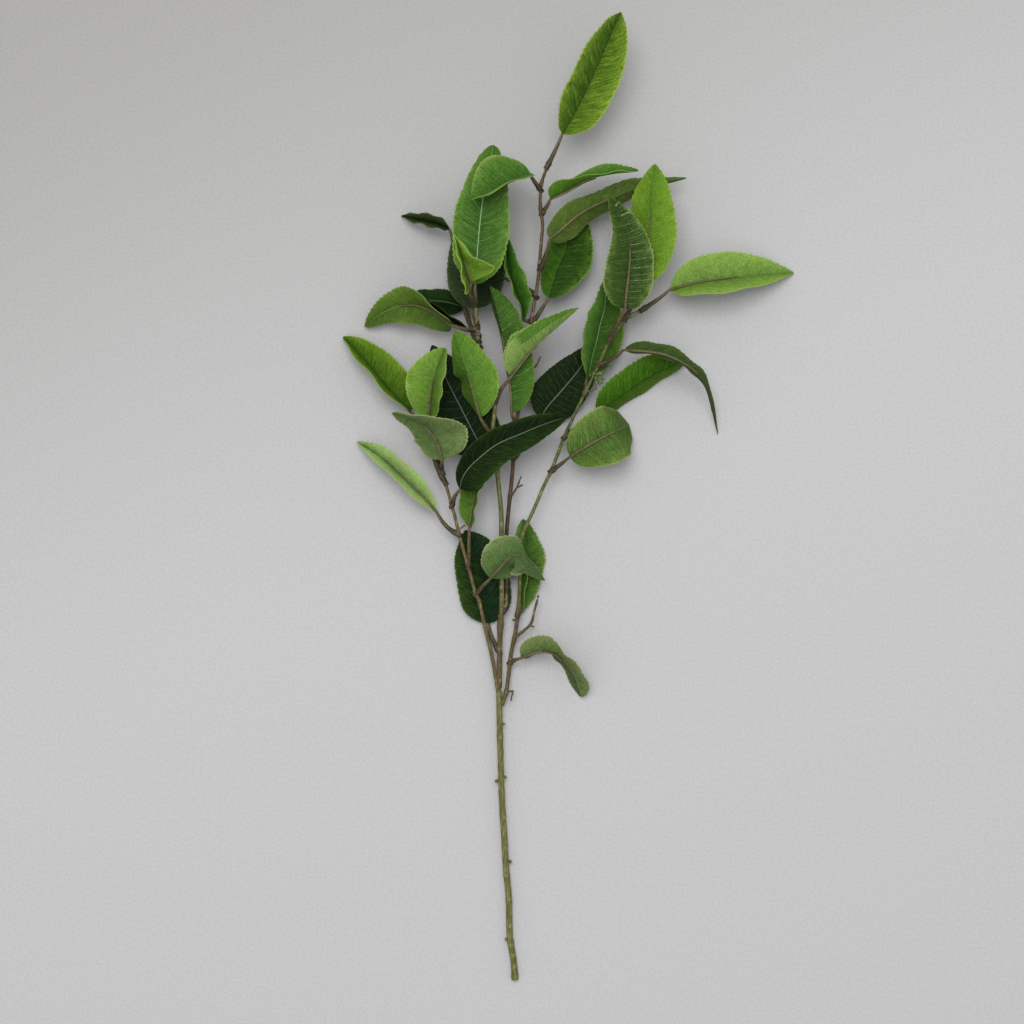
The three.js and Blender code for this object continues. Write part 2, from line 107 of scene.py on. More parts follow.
# Thickness of the solid blade over a rib, and the film of glue between the two.
SOLID_BLADE_THICKNESS = 0.7
GLUE_FILM = 0.06

# Ribs that branch: place along the rib, side (-1 left, 1 right) and reach. The branch's radii at its
# start and its end, how far towards the tip it leans, and its height over the blade.
SIDE_RIBS = {"leaf_round_right": (0.29, -1, 19)}
SIDE_RIB_RADII = (0.75, 0.45)
SIDE_RIB_LEAN = 0.03
SIDE_RIB_HEIGHT = 0.6

# Columns and rows of the flat sheets that are rolled into stems.
STEM_MESH = (14, 260)
TWIG_MESH = (8, 24)
SLEEVE_MESH = (12, 70)

# Shoots: name, finish, radii at the start and the end, route.
SHOOTS = [
  ["main_stem", "olive_stem", 3.2, 3.0, [
    [3, -468.5, 3], [2.4, -457, 3], [1.2, -446, 3], [-2, -425, 3.6], [-3.3, -385, 4.5],
    [-6, -356, 5], [-7.6, -326, 5.5],
    [-9.6, -296, 6.2], [-10.8, -267, 7], [-11.6, -237, 8], [-12.4, -208, 9], [-12.8, -177, 10]]],
  ["shoot_middle", "brown_stem", 2.7, 1.7, [
    [-12.7, -178, 10], [-12.5, -146, 9.5], [-11.7, -115, 11], [-10.6, -99, 13], [-10.2, -64, 19],
    [-10.5, -26, 25],
    [-11, 2, 29], [-13.8, 30, 32], [-15, 43, 34], [-18, 72, 39.5], [-19, 87, 42], [-17.5, 104, 44],
    [-22, 127, 46], [-28, 150, 49], [-32.7, 166, 51], [-35.3, 191, 54], [-37, 212, 57]]],
  ["shoot_left", "tan_stem", 2.0, 1.5, [
    [-13.5, -182, 10.5], [-19.6, -146, 9.5], [-27, -115, 10], [-33, -89, 13], [-36.3, -81, 14],
    [-44.6, -51, 18.5],
    [-52, -26, 21], [-57, -5, 23], [-61.2, 10, 25], [-66.8, 30, 27], [-71, 45, 28]]],
  ["shoot_right", "tan_stem", 2.1, 1.5, [
    [-10.5, -194, 11], [-6.3, -182, 10], [-3.4, -163, 9], [-0.5, -139, 9], [2.8, -124, 10], [5.9, -101, 13],
    [8, -64, 20], [7, -36, 24], [11, -21, 24], [21.7, 2, 23], [31, 24, 22], [39.2, 41, 22], [52, 74, 22],
    [62.7, 98, 22], [72.9, 119, 25], [85.7, 145, 29], [97.9, 172, 35], [114, 193, 37], [130, 202, 37]]],
  ["shoot_top", "brown_stem", 2.2, 1.5, [
    [-10.6, -103, 12.5], [-6.2, -95, 13], [-5.5, -81, 14], [-4.9, -64, 16], [-5.7, -26, 21], [-3.6, 0, 24],
    [0, 35, 28], [2, 59, 30], [4.5, 87, 32], [9, 122, 34], [14, 160, 35], [19.8, 194, 36], [26, 232, 37.5],
    [28.8, 264, 38.5], [30.5, 290, 40], [28.8, 300, 41], [28.3, 316, 42], [28.8, 326, 43], [35, 345, 45]]],
]

# Bare twiglets: shoot, radii at the start and the end, route.
TWIGS = [
  ["shoot_right", 1.5, 1.0, [[1.5, -126.5, 10], [11.9, -118.6, 12], [19.2, -111, 13],
   [22.9, -97, 14], [26, -86, 15]]],
  ["shoot_right", 0.9, 0.6, [[17, -113, 12.5], [21, -114.6, 13]]],
  ["shoot_right", 1.0, 0.6, [[-5.5, -180, 10], [0.3, -179.6, 11], [-1, -187.5, 11]]],
  ["shoot_right", 1.2, 0.7, [[74, 121, 25.4], [79, 121, 27], [83, 123, 28]]],
  ["shoot_top", 1.0, 0.6, [[-0.6, 16, 26], [4.5, 24, 29], [8.6, 34, 32]]],
  ["shoot_top", 0.8, 0.6, [[4.5, 24, 29], [9.6, 26.6, 31]]],
  ["shoot_top", 1.0, 0.7, [[12, 144, 34.5], [22.9, 145, 36], [28, 154, 38]]],
  ["shoot_left", 1.0, 0.6, [[-54, -18, 21.5], [-48, -14, 23]]],
]

# Leaves: name, shoot, side that faces up, half-width, shape (where along the blade it is
# widest, and how pointed its ends are), tilts of the left and the right half in degrees at even
# steps from base to tip (0 lies flat, plus is raised, past 90 is folded over), stalk route,
# rib route.
LEAVES = [
  ["leaf_top", "shoot_top", "upper", 28, [0.43, 1.5], [46, 46, 50], [8, 6, 34],
    [[35, 345, 45], [43, 361, 46]],
    [[51, 378, 46], [64, 401, 50], [84, 443, 56], [99, 478, 60], [109, 500, 58]]],
  ["leaf_curl_left", "shoot_top", "upper", 31, [0.42, 1.4], [62, 80, 80], [0, -4, -8],
    [[28.5, 322, 43], [22, 331, 50]],
    [[18, 339, 56], [-5, 330, 72], [-22, 320, 84], [-41, 312, 88]]],
  ["leaf_twist_top", "shoot_top", "under", 20, [0.42, 1.0], [25, 86, 95], [-95, -128, -150],
    [[30, 298, 40.5], [35, 306, 44]],
    [[38, 314, 47], [54, 321, 50], [75, 332, 54], [100, 338, 54], [127, 341, 48]]],
  ["leaf_arch", "shoot_top", "under", 24, [0.33, 1.15], [-40, -48, -45], [-50, -66, -80],
    [[28, 243, 38], [32, 252, 43], [36, 265, 48]],
    [[38, 273, 51], [52, 285, 54], [69, 299, 54], [91, 310, 50], [122, 323, 40], [143, 329, 32],
     [175, 334, 21]]],
  ["leaf_big_top", "shoot_top", "upper", 30, [0.45, 1.4], [-48, -52, -40], [-6, -10, -12],
    [[20, 190, 36], [27, 198, 34], [32, 207, 33]],
    [[37, 214, 32], [45, 240, 31], [53, 259, 29], [59, 284, 26], [66, 308, 22]]],
  ["leaf_narrow", "shoot_top", "upper", 21, [0.45, 1.5], [80, 83, 75], [50, 46, 50],
    [[19.5, 191, 36], [15, 191, 35]],
    [[12, 192, 34], [9, 207, 33], [3.5, 220, 33], [-2, 237, 32], [-5, 254, 31], [-4, 275, 30]]],
  ["leaf_dark_top", "shoot_top", "upper", 20, [0.45, 1.4], [10, 12, 10], [-10, -12, -10],
    [[24, 215, 37], [13, 225, 28], [-1, 231, 23]],
    [[-9, 235, 21], [-20, 247, 20], [-28, 262, 19], [-32, 277, 18], [-34, 300, 16]]],
  ["leaf_center_long", "shoot_top", "under", 26, [0.42, 1.3], [-86, -86, -80], [-10, -8, -15],
    [[4, 84, 31.5], [2, 92, 38]],
    [[0.5, 99, 43], [-1, 125, 47], [-6.7, 162, 49], [-15, 201, 48], [-22.5, 226, 45]]],
  ["leaf_dark_right", "shoot_top", "upper", 26, [0.42, 1.4], [14, 16, 10], [-45, -12, -6],
    [[1.8, 53, 29.5], [12, 68, 25], [22, 84, 21]],
    [[28, 94, 19], [36, 106, 17], [50, 122, 14], [68, 144, 11], [85, 170, 9]]],
  ["leaf_big_light", "shoot_middle", "upper", 30, [0.54, 1.2], [-22, -26, -20], [-6, -4, -10],
    [[-36.7, 208, 56], [-37, 219, 60]],
    [[-37, 228, 63], [-35.5, 247, 66], [-33, 279, 70], [-29, 313, 71], [-18.6, 367, 62]]],
  ["leaf_corner", "shoot_middle", "under", 28, [0.22, 0.9], [74, 78, 80], [-6, 6, 56, 70],
    [[-36.9, 206, 56], [-42, 218, 73]],
    [[-42.6, 230, 87], [-46, 240, 94], [-50, 254, 100], [-58.6, 277.7, 104]]],
  ["leaf_dark_behind", "shoot_middle", "upper", 30, [0.48, 1.2], [-12, -14, -10], [-12, -14, -10],
    [[-35, 188, 53.5], [-38, 197, 47]],
    [[-38, 204, 41], [-37, 222, 33], [-36, 245, 29], [-34, 280, 26], [-34, 317, 24]]],
  ["leaf_far_thin", "shoot_middle", "upper", 15, [0.4, 1.4], [62, 66, 60], [62, 64, 60],
    [[-33.3, 171, 51.5], [-43, 190, 34], [-51, 218, 20], [-58, 262, 15]],
    [[-63, 283, 15], [-72, 287, 15], [-83, 290, 12], [-97, 293, 8], [-111, 296, 3]]],
  ["leaf_left_mid", "shoot_middle", "under", 24, [0.24, 0.85], [-64, -40, -8, -20],
    [88, 84, 30, 18, 26],
    [[-34.8, 184, 53], [-44, 182, 50], [-54, 185, 46]],
    [[-60, 188, 43], [-76, 200, 40], [-95, 207, 34], [-112, 206, 27], [-130, 199, 19],
     [-147, 185, 7]]],
  ["leaf_dark_small", "shoot_middle", "upper", 15, [0.45, 1.3], [-25, -30, -20], [-25, -30, -20],
    [[-32, 165, 50.8], [-40, 180, 32], [-44, 198, 18]],
    [[-48, 205, 14], [-66, 210, 12], [-90, 212, 11], [-104, 213, 10]]],
  ["leaf_dark_edge", "shoot_middle", "upper", 9, [0.35, 1.0], [70, 70, 60], [70, 70, 60],
    [[-34, 178, 52.2], [-33, 174, 32], [-37, 177, 22]],
    [[-42, 181, 21], [-62, 193, 19], [-84, 209, 16], [-100, 221, 13]]],
  ["leaf_bright_center", "shoot_middle", "under", 29, [0.5, 1.2], [-66, -70, -50], [-4, -8, -14],
    [[-18.2, 74, 39.8], [-26, 85, 46]],
    [[-31, 95, 52], [-37, 114, 58], [-42, 133, 62], [-48, 150, 63], [-56, 181, 57]]],
  ["leaf_diagonal", "shoot_middle", "under", 26, [0.42, 1.4], [40, 42, 40], [-160, -160, -150],
    [[-18, 107, 44.2], [-11, 122, 50]],
    [[-2, 137, 56], [7, 148, 59], [17, 160, 61], [26, 168, 61], [48, 187, 58], [67, 204, 52]]],
  ["leaf_dark_left", "shoot_middle", "upper", 29, [0.42, 1.4], [-8, -10, -10], [12, 10, 8],
    [[-16, 50, 35.2], [-23, 56, 32]],
    [[-29, 62, 30], [-34, 71, 29], [-51, 104, 29], [-67, 136, 28], [-80, 167, 24]]],
  ["leaf_right_bright", "shoot_right", "under", 28, [0.46, 1.5], [-2, 0, 0], [52, 58, 50],
    [[130, 202, 37], [145, 212, 31]],
    [[158, 221, 26], [181, 228, 23], [215, 233, 19], [243, 237, 12], [282, 239, 1]]],
  ["leaf_yellow_back", "shoot_right", "under", 27, [0.46, 1.4], [-38, -42, -30], [0, 0, 0],
    [[113, 192, 37], [120, 207, 41]],
    [[128, 226, 46], [133, 250, 52], [138, 280, 57], [139, 319, 57], [143, 348, 52]]],
  ["leaf_veined", "shoot_right", "under", 26, [0.35, 1.05], [-18, -20, -24], [-8, -14, -24],
    [[97, 170, 34.8], [102, 182, 42], [109, 195, 50]],
    [[113, 203, 55], [115, 223, 61], [117, 240, 65], [118, 264, 70], [114, 286, 68], [97, 316, 58]]],
  ["leaf_twist_right", "shoot_right", "upper", 27, [0.46, 1.3], [60, 58, 38], [-6, -10, -12],
    [[72.5, 118, 24], [74, 127, 22]],
    [[76, 134, 21], [80, 155, 20], [84, 170, 20], [88, 188, 20], [92, 202, 20], [94, 233, 18]]],
  ["leaf_droop", "shoot_right", "under", 19, [0.33, 1.3], [-45, -60, -72], [-86, -84, -76],
    [[86, 146, 29], [101, 154, 36], [107, 158, 40]],
    [[112, 162, 43], [134, 161, 53], [155, 157, 58], [178, 145, 54], [191, 132, 45],
     [199, 115, 31], [206, 77, 1]]],
  ["leaf_right_low", "shoot_right", "upper", 23, [0.46, 1.2], [24, 22, 10], [-60, -66, -60],
    [[52, 74, 22], [67, 86, 21], [78, 93, 19]],
    [[86, 99, 18], [98, 108, 19], [119, 123, 22], [139, 136, 23], [158, 145, 19], [176, 154, 12]]],
  ["leaf_round_right", "shoot_right", "under", 30, [0.42, 1.0], [-6, -8, -10], [-10, -8, -10],
    [[39, 40.5, 22], [49, 48, 27]],
    [[58, 55, 33], [75, 66, 41], [91, 74.5, 44], [104, 81, 41], [110, 84, 30], [114, 86, 16],
     [117, 87, 6]]],
  ["leaf_lower_right", "shoot_right", "under", 21, [0.46, 1.3], [108, 100, 10], [0, 0, 0],
    [[5.6, -103, 12.8], [7.5, -101, 8]],
    [[9, -98, 6], [9.5, -78, 4.5], [11, -58, 4], [14, -44, 4], [13, -28, 4], [11, -7, 4]]],
  ["leaf_droop_low", "shoot_right", "under", 19, [0.42, 0.62], [0, 18, 74, 58, 14],
    [-75, -88, -75, -65, -60],
    [[-2, -151, 9], [3, -148, 12]],
    [[9, -145, 16], [24, -140, 22], [36, -139.5, 25], [46, -143, 24], [55, -152, 20],
     [65, -169, 14], [70, -185, 7]]],
  ["leaf_far_left", "shoot_left", "upper", 25, [0.36, 1.05], [78, 76, 70], [8, 18, 34],
    [[-69.5, 39, 27.6], [-83, 68, 20], [-94, 90, 15]],
    [[-101, 101, 13], [-120, 121, 11], [-137, 141, 9], [-153, 159, 5], [-169, 175, 1.4]]],
  ["leaf_left_round", "shoot_left", "under", 28, [0.5, 1.3], [-4, -6, -5], [62, 68, 60],
    [[-66.5, 29, 26.8], [-77, 50, 31], [-82, 72, 35]],
    [[-83, 89, 38], [-81, 111, 42], [-79, 128, 45], [-76, 142, 46], [-67, 164, 43]]],
  ["leaf_pale_left", "shoot_left", "under", 33, [0.3, 1.0], [-50, -56, -50], [0, 4, 68, 82, 82],
    [[-71, 44, 28], [-70, 48, 38]],
    [[-69, 52, 45], [-75, 71, 53], [-85, 85, 57], [-99, 93, 56], [-120, 99, 50]]],
  ["leaf_left_low", "shoot_left", "under", 20, [0.48, 1.3], [66, 70, 68], [48, 48, 50],
    [[-53, -23, 21.2], [-65, -15, 19], [-72, -6, 17.5]],
    [[-76, 0, 16], [-90, 16, 14], [-111, 36, 12], [-133, 56, 7], [-155, 70, 2]]],
  ["leaf_sickle", "shoot_left", "upper", 22, [0.36, 1.0], [-60, -52, -44, -22, -14], [-5, -6, -8],
    [[-60, 6, 24.5], [-57, 16, 32]],
    [[-52, 23, 40], [-50, 33, 48], [-44, 43, 54], [-35, 52, 58], [-16, 67, 60], [11, 79, 56],
     [33, 88, 50], [54, 95, 42]]],
  ["leaf_behind_sickle", "shoot_left", "under", 20, [0.46, 1.4], [-30, -34, -20], [80, 84, 80],
    [[-43.4, -55, 18], [-43, -38, 20]],
    [[-41, -16, 22], [-39, 0, 24], [-36, 15, 25], [-31, 28, 25], [-22, 40, 25]]],
  ["leaf_pale_mid", "shoot_left", "under", 26, [0.33, 1.0], [-4, -10, -40, -72, -75],
    [-44, -58, -30, -30, -50],
    [[-36, -82, 13.8], [-29, -74, 20]],
    [[-22, -66, 28], [-13, -56, 38], [-5, -48, 44], [3, -43, 47], [12, -47, 44], [22, -57, 36],
     [33, -68.5, 28]]],
  ["leaf_dark_lower", "shoot_middle", "upper", 27, [0.4, 1.5], [4, 4, 4], [5, 5, 5],
    [[-12.4, -141, 9.6], [-19.5, -127, 7], [-22.6, -117, 5.5]],
    [[-23, -111, 4.6], [-25, -93, 4], [-32, -53, 4], [-40, -33, 4.6], [-47, -18, 5.5]]],
]

# Finishes of the leaves in 0-255 screen colours: left half, right half, the side that is turned away,
# rim, rib, vein, and how strong the veins and the pleats show (the pleats in relief and in painted shade and
# highlight).
# The left and right colours are partly painted light: a half that tilts away from the lamp is given a paler
# colour to undo its shade.
LEAF_LOOKS = {
    "leaf_top": [(84, 124, 44), (98, 138, 42), (120, 158, 96), (146, 184, 84),
        (34, 50, 22), (64, 96, 36), 0.5, 1.0],
    "leaf_curl_left": [(82, 132, 58), (76, 128, 48), (120, 160, 90), (142, 176, 108),
        (60, 100, 44), (136, 172, 108), 0.5, 0.8],
    "leaf_twist_top": [(84, 138, 48), (78, 122, 54), (76, 124, 54), (124, 164, 88),
        (92, 120, 60), (96, 140, 62), 0.2, 0.45],
    "leaf_arch": [(91, 122, 60), (97, 128, 64), (50, 86, 34), (124, 152, 98),
        (96, 104, 66), (100, 134, 74), 0.35, 0.6],
    "leaf_big_top": [(72, 124, 38), (44, 80, 20), (70, 110, 60), (108, 152, 66),
        (18, 34, 14), (84, 116, 66), 0.35, 0.8],
    "leaf_narrow": [(54, 106, 40), (62, 116, 44), (70, 110, 60), (120, 164, 84),
        (38, 78, 30), (80, 130, 56), 0.3, 0.6],
    "leaf_dark_top": [(24, 50, 16), (28, 54, 18), (30, 52, 26), (50, 76, 36),
        (60, 84, 50), (50, 76, 40), 0.3, 0.5],
    "leaf_center_long": [(60, 100, 36), (64, 108, 42), (56, 94, 36), (92, 134, 60),
        (58, 60, 34), (112, 140, 88), 0.7, 0.5],
    "leaf_dark_right": [(22, 44, 17), (24, 48, 18), (20, 36, 20), (30, 48, 22),
        (112, 124, 106), (72, 88, 68), 0.75, 0.6],
    "leaf_big_light": [(72, 120, 50), (70, 116, 48), (96, 136, 80), (124, 166, 92),
        (140, 166, 130), (120, 152, 112), 0.5, 0.6],
    "leaf_corner": [(86, 126, 52), (122, 170, 66), (90, 130, 60), (160, 196, 104),
        (110, 120, 60), (132, 176, 80), 0.2, 0.4],
    "leaf_dark_behind": [(42, 62, 42), (32, 50, 30), (40, 60, 42), (70, 92, 66),
        (84, 104, 84), (70, 90, 68), 0.5, 1.0],
    "leaf_far_thin": [(44, 62, 42), (56, 78, 46), (44, 62, 42), (90, 110, 76),
        (36, 52, 34), (70, 90, 60), 0.3, 0.5],
    "leaf_left_mid": [(84, 120, 54), (86, 122, 50), (60, 100, 40), (120, 150, 84),
        (112, 134, 84), (104, 138, 74), 0.3, 0.45],
    "leaf_dark_small": [(18, 46, 12), (24, 56, 16), (20, 40, 18), (44, 76, 34),
        (70, 96, 56), (44, 74, 34), 0.3, 0.5],
    "leaf_dark_edge": [(12, 28, 10), (14, 30, 12), (12, 28, 10), (70, 92, 60),
        (16, 30, 12), (24, 40, 20), 0.2, 0.4],
    "leaf_bright_center": [(88, 136, 54), (92, 140, 58), (70, 120, 44), (128, 170, 88),
        (90, 112, 58), (104, 142, 72), 0.35, 0.45],
    "leaf_diagonal": [(128, 166, 102), (104, 142, 78), (76, 128, 46), (152, 186, 124),
        (90, 110, 60), (168, 196, 148), 0.35, 0.35],
    "leaf_dark_left": [(20, 40, 20), (24, 44, 22), (26, 46, 26), (40, 62, 34),
        (100, 112, 96), (62, 80, 60), 0.7, 0.6],
    "leaf_right_bright": [(124, 168, 90), (116, 160, 78), (100, 150, 54), (150, 188, 110),
        (104, 112, 60), (136, 176, 100), 0.25, 0.35],
    "leaf_yellow_back": [(108, 154, 52), (100, 146, 48), (90, 134, 40), (132, 172, 76),
        (60, 82, 28), (104, 142, 54), 0.2, 0.3],
    "leaf_veined": [(54, 84, 34), (54, 84, 36), (50, 88, 36), (136, 168, 112),
        (66, 66, 38), (132, 154, 118), 0.75, 0.35],
    "leaf_twist_right": [(76, 128, 58), (62, 102, 38), (60, 100, 46), (112, 152, 80),
        (124, 150, 108), (70, 104, 56), 0.4, 0.6],
    "leaf_droop": [(66, 94, 48), (72, 98, 56), (50, 84, 36), (104, 134, 86),
        (80, 84, 56), (100, 124, 84), 0.4, 0.5],
    "leaf_right_low": [(66, 114, 26), (82, 124, 34), (70, 110, 50), (92, 136, 44),
        (26, 46, 12), (82, 126, 40), 0.4, 0.9],
    "leaf_round_right": [(84, 120, 56), (80, 116, 54), (80, 124, 56), (136, 164, 108),
        (104, 116, 70), (128, 158, 102), 0.6, 0.5],
    "leaf_lower_right": [(84, 126, 62), (70, 112, 48), (80, 130, 52), (122, 160, 88),
        (70, 110, 50), (100, 142, 74), 0.35, 0.7],
    "leaf_droop_low": [(106, 132, 90), (88, 104, 74), (90, 116, 76), (142, 166, 124),
        (130, 140, 110), (118, 138, 104), 0.3, 0.5],
    "leaf_far_left": [(78, 120, 30), (90, 132, 36), (84, 120, 60), (134, 172, 74),
        (56, 92, 26), (110, 154, 56), 0.3, 0.7],
    "leaf_left_round": [(108, 154, 68), (92, 136, 58), (80, 130, 50), (142, 180, 104),
        (96, 114, 60), (130, 170, 94), 0.35, 0.4],
    "leaf_pale_left": [(100, 132, 88), (104, 136, 92), (84, 128, 76), (156, 178, 142),
        (104, 104, 72), (126, 154, 116), 0.35, 0.35],
    "leaf_left_low": [(156, 198, 146), (156, 198, 142), (96, 146, 70), (170, 206, 146),
        (96, 96, 56), (150, 182, 124), 0.3, 0.35],
    "leaf_sickle": [(18, 38, 13), (28, 52, 18), (36, 62, 30), (52, 80, 32),
        (100, 114, 88), (34, 52, 26), 0.4, 1.25],
    "leaf_behind_sickle": [(90, 134, 56), (70, 110, 44), (70, 120, 44), (120, 168, 84),
        (96, 104, 56), (102, 152, 70), 0.2, 0.8],
    "leaf_pale_mid": [(88, 122, 80), (92, 124, 86), (84, 118, 82), (156, 176, 146),
        (100, 96, 72), (112, 146, 106), 0.25, 0.3],
    "leaf_dark_lower": [(34, 62, 26), (26, 56, 44), (30, 54, 30), (62, 94, 46),
        (16, 34, 20), (48, 78, 44), 0.3, 1.35],
}

# Finishes of the shoots: colour at the lower end and at the upper end, and the table Y where each holds.
STEM_LOOKS = {
    "main_stem": [(116, 122, 62), (118, 118, 64), -380, -180],
    "shoot_middle": [(98, 84, 46), (106, 113, 66), -110, -60],
    "shoot_left": [(110, 98, 60), (112, 98, 68), -140, 20],
    "shoot_right": [(100, 86, 50), (100, 110, 56), -90, -50],
    "shoot_top": [(62, 50, 28), (98, 80, 54), -60, 150],
}
SLEEVE_DARK = (46, 38, 22)
SLEEVE_PALE = (110, 99, 65)

# Swellings along the shoots: table Y, extra radius and half-length.
KNOTS = {
    "main_stem": [(-223, 0.35, 2.4), (-279, 0.3, 1.8), (-303, 0.35, 2.2), (-332, 0.3, 1.8), (-363, 0.35, 2.2),
        (-388, 0.3, 1.8), (-430, 0.3, 2.5), (-464, 0.5, 5.0)],
    "shoot_middle": [(-113, 0.9, 7.0), (-30, 0.4, 3.0), (43, 0.7, 3.5), (104, 0.6, 3.5), (150, 0.5, 3.0)],
    "shoot_left": [(-81, 0.6, 3.0), (-51, 0.6, 3.0), (-22, 0.6, 3.0), (8, 0.6, 3.0), (30, 0.5, 3.0)],
    "shoot_right": [(-180, 0.5, 3.0), (-150, 0.6, 3.0), (-126, 0.6, 3.5), (-101, 0.9, 5.0), (41, 0.6, 3.5),
        (74, 0.6, 3.0), (119, 0.8, 3.5), (145, 0.5, 3.0), (172, 0.6, 3.0), (193, 0.6, 3.0)],
    "shoot_top": [(16, 0.5, 3.0), (53, 0.4, 3.0), (87, 0.5, 3.0), (144, 0.6, 3.0), (190, 0.6, 3.0),
        (215, 0.5, 3.0), (243, 0.5, 3.0), (298, 0.7, 3.5), (322, 0.7, 3.5), (345, 0.5, 3.5)],
}

# Buds along the shoots: table place and radius.
BUDS = {
    "main_stem": [([-15.4, -269, 7], 1.9), ([-6.9, -265, 7.5], 1.7), ([-1.9, -349.5, 6], 1.9),
        ([-5.6, -427, 4.5], 1.9), ([-8.2, -212, 9.5], 1.5)],
    "shoot_middle": [([-8.4, -112, 12], 1.2), ([-16.5, 46, 35], 1.1), ([-16.6, 106, 45], 1.1)],
    "shoot_left": [([-47.6, -13.6, 23], 1.3), ([-38.5, -79, 15], 1.2), ([-68.5, 36, 29], 1.2)],
    "shoot_right": [([26.2, -84.5, 15.5], 1.4), ([24.8, -92, 15], 1.2), ([21.4, -114.6, 13.2], 1.1),
        ([-0.8, -188, 11.4], 1.1), ([0.9, -179, 11.4], 1.1), ([84, 123.5, 28.4], 1.2),
        ([1.8, -108, 12], 1.5), ([78, 137, 30], 1.4), ([25, -51, 7.6], 2.2)],
    "shoot_top": [([8.8, 34.6, 32.3], 1.0), ([9.9, 26.8, 31.2], 1.0), ([28.4, 154.8, 38.4], 1.0),
        ([24, 147, 37], 0.9)],
}

# The flower cluster: place, number of florets, their spread each way, radii and two greens.
FLORET_PLACE = [86, 134, 30.5]
FLORETS = 26
FLORET_SPREAD = ((-4.6, 5.4), (-6, 6), (-2, 2))
FLORET_RADII = (0.9, 1.7)
FLORET_DARK = (58, 76, 36)
FLORET_PALE = (104, 120, 66)


def linear(color):
    """A 0-255 screen colour as the linear RGBA that shaders take."""
    parts = [c / 255 for c in color]
    return tuple(p / 12.92 if p <= 0.04045 else ((p + 0.055) / 1.055) ** 2.4 for p in parts) + (1.0,)


def placed(point):
    """A table place pulled in towards the eye, to the point in space that it sees there."""
    x, y, z = point
    pull = 1 - z / EYE_HEIGHT
    return Vector((x * pull, y * pull, z))


class Route:
    """A smooth centripetal curve through points, in millimetres."""

    def __init__(self, points):
        self.points = [Vector(p) for p in points]

    def at(self, t):
        points = self.points
        spot = (len(points) - 1) * min(max(t, 0.0), 1.0)
        first = min(int(spot), len(points) - 2)
        p1 = points[first]
        p2 = points[first + 1]
        p0 = points[first - 1] if first > 0 else 2 * p1 - p2
        p3 = points[first + 2] if first + 2 < len(points) else 2 * p2 - p1
        gap0 = (p1 - p0).length ** 0.5
        gap1 = (p2 - p1).length ** 0.5
        gap2 = (p3 - p2).length ** 0.5
        out = ((p1 - p0) / gap0 - (p2 - p0) / (gap0 + gap1) + (p2 - p1) / gap1) * gap1
        into = ((p2 - p1) / gap1 - (p3 - p1) / (gap1 + gap2) + (p3 - p2) / gap2) * gap1
        w = spot - first
        return (p1 + out * w + (3 * (p2 - p1) - 2 * out - into) * w ** 2
                + (2 * (p1 - p2) + out + into) * w ** 3)


def route_through(places):
    return Route([placed(p) for p in places])


def length_of(places):
    return sum((Vector(a) - Vector(b)).length for a, b in zip(places, places[1:]))


def mix(a, b, share):
    return a + (b - a) * share


def smooth(low, high, value):
    share = min(max((value - low) / (high - low), 0.0), 1.0)
    return share * share * (3 - 2 * share)


# The table's origin in the frame, from two leaf tips whose places the table gives.
right_tip = placed(next(row for row in LEAVES if row[0] == "leaf_right_bright")[-1][-1])
top_tip = placed(next(row for row in LEAVES if row[0] == "leaf_top")[-1][-1])
SHIFT = Vector((
    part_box("leaf_right_bright")[1].x / MM - right_tip.x,
    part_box("leaf_top")[1].y / MM - top_tip.y,
    0.0,
))


def in_frame(point, clearance=0.0):
    """A point in millimetres from the table's origin, in the frame and kept clear of the table top."""
    moved = point + SHIFT
    return Vector((moved.x, moved.y, max(moved.z, clearance))) * MM


def deselect_all():
    bpy.ops.object.select_all(action="DESELECT")


def make_active(piece):
    deselect_all()
    piece.select_set(True)
    bpy.context.view_layer.objects.active = piece


def unit_sheet(name, columns, rows):
    """A flat sheet from -1 to 1 each way, with its UV map, to be copied and bent."""
    deselect_all()
    bpy.ops.mesh.primitive_grid_add(x_subdivisions=columns, y_subdivisions=rows, size=2, location=(0, 0, 0))
    sheet = bpy.context.object
    sheet.name = name
    return sheet


def copy_of(sheet, name):
    piece = sheet.copy()
    piece.data = sheet.data.copy()
    piece.name = name
    piece.data.name = name
    bpy.context.scene.collection.objects.link(piece)
    return piece


def merge_points(piece, turn_outwards):
    """Merges the points that meet and, where asked, turns the faces outwards."""
    make_active(piece)
    bpy.ops.object.mode_set(mode="EDIT")
    bpy.ops.mesh.select_all(action="SELECT")
    bpy.ops.mesh.remove_doubles(threshold=MERGE_DISTANCE)
    if turn_outwards:
        bpy.ops.mesh.normals_make_consistent(inside=False)
    bpy.ops.object.mode_set(mode="OBJECT")


def join(pieces, name, material):
    """Joins pieces into one that has a single finish."""
    make_active(pieces[0])
    for piece in pieces[1:]:
        piece.select_set(True)
    bpy.ops.object.join()
    joined = bpy.context.object
    joined.name = name
    joined.data.name = name
    joined.data.materials.clear()
    joined.data.materials.append(material)
    return joined


def finish_piece(piece, nodes, slot, angle=BAR_ANGLE):
    """Smooths a piece, says what it rides on and hides the model parts that it stands for."""
    make_active(piece)
    bpy.ops.object.shade_smooth_by_angle(angle=math.radians(angle))
    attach(piece, "root")
    if nodes:
        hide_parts(*nodes)


# Finishes

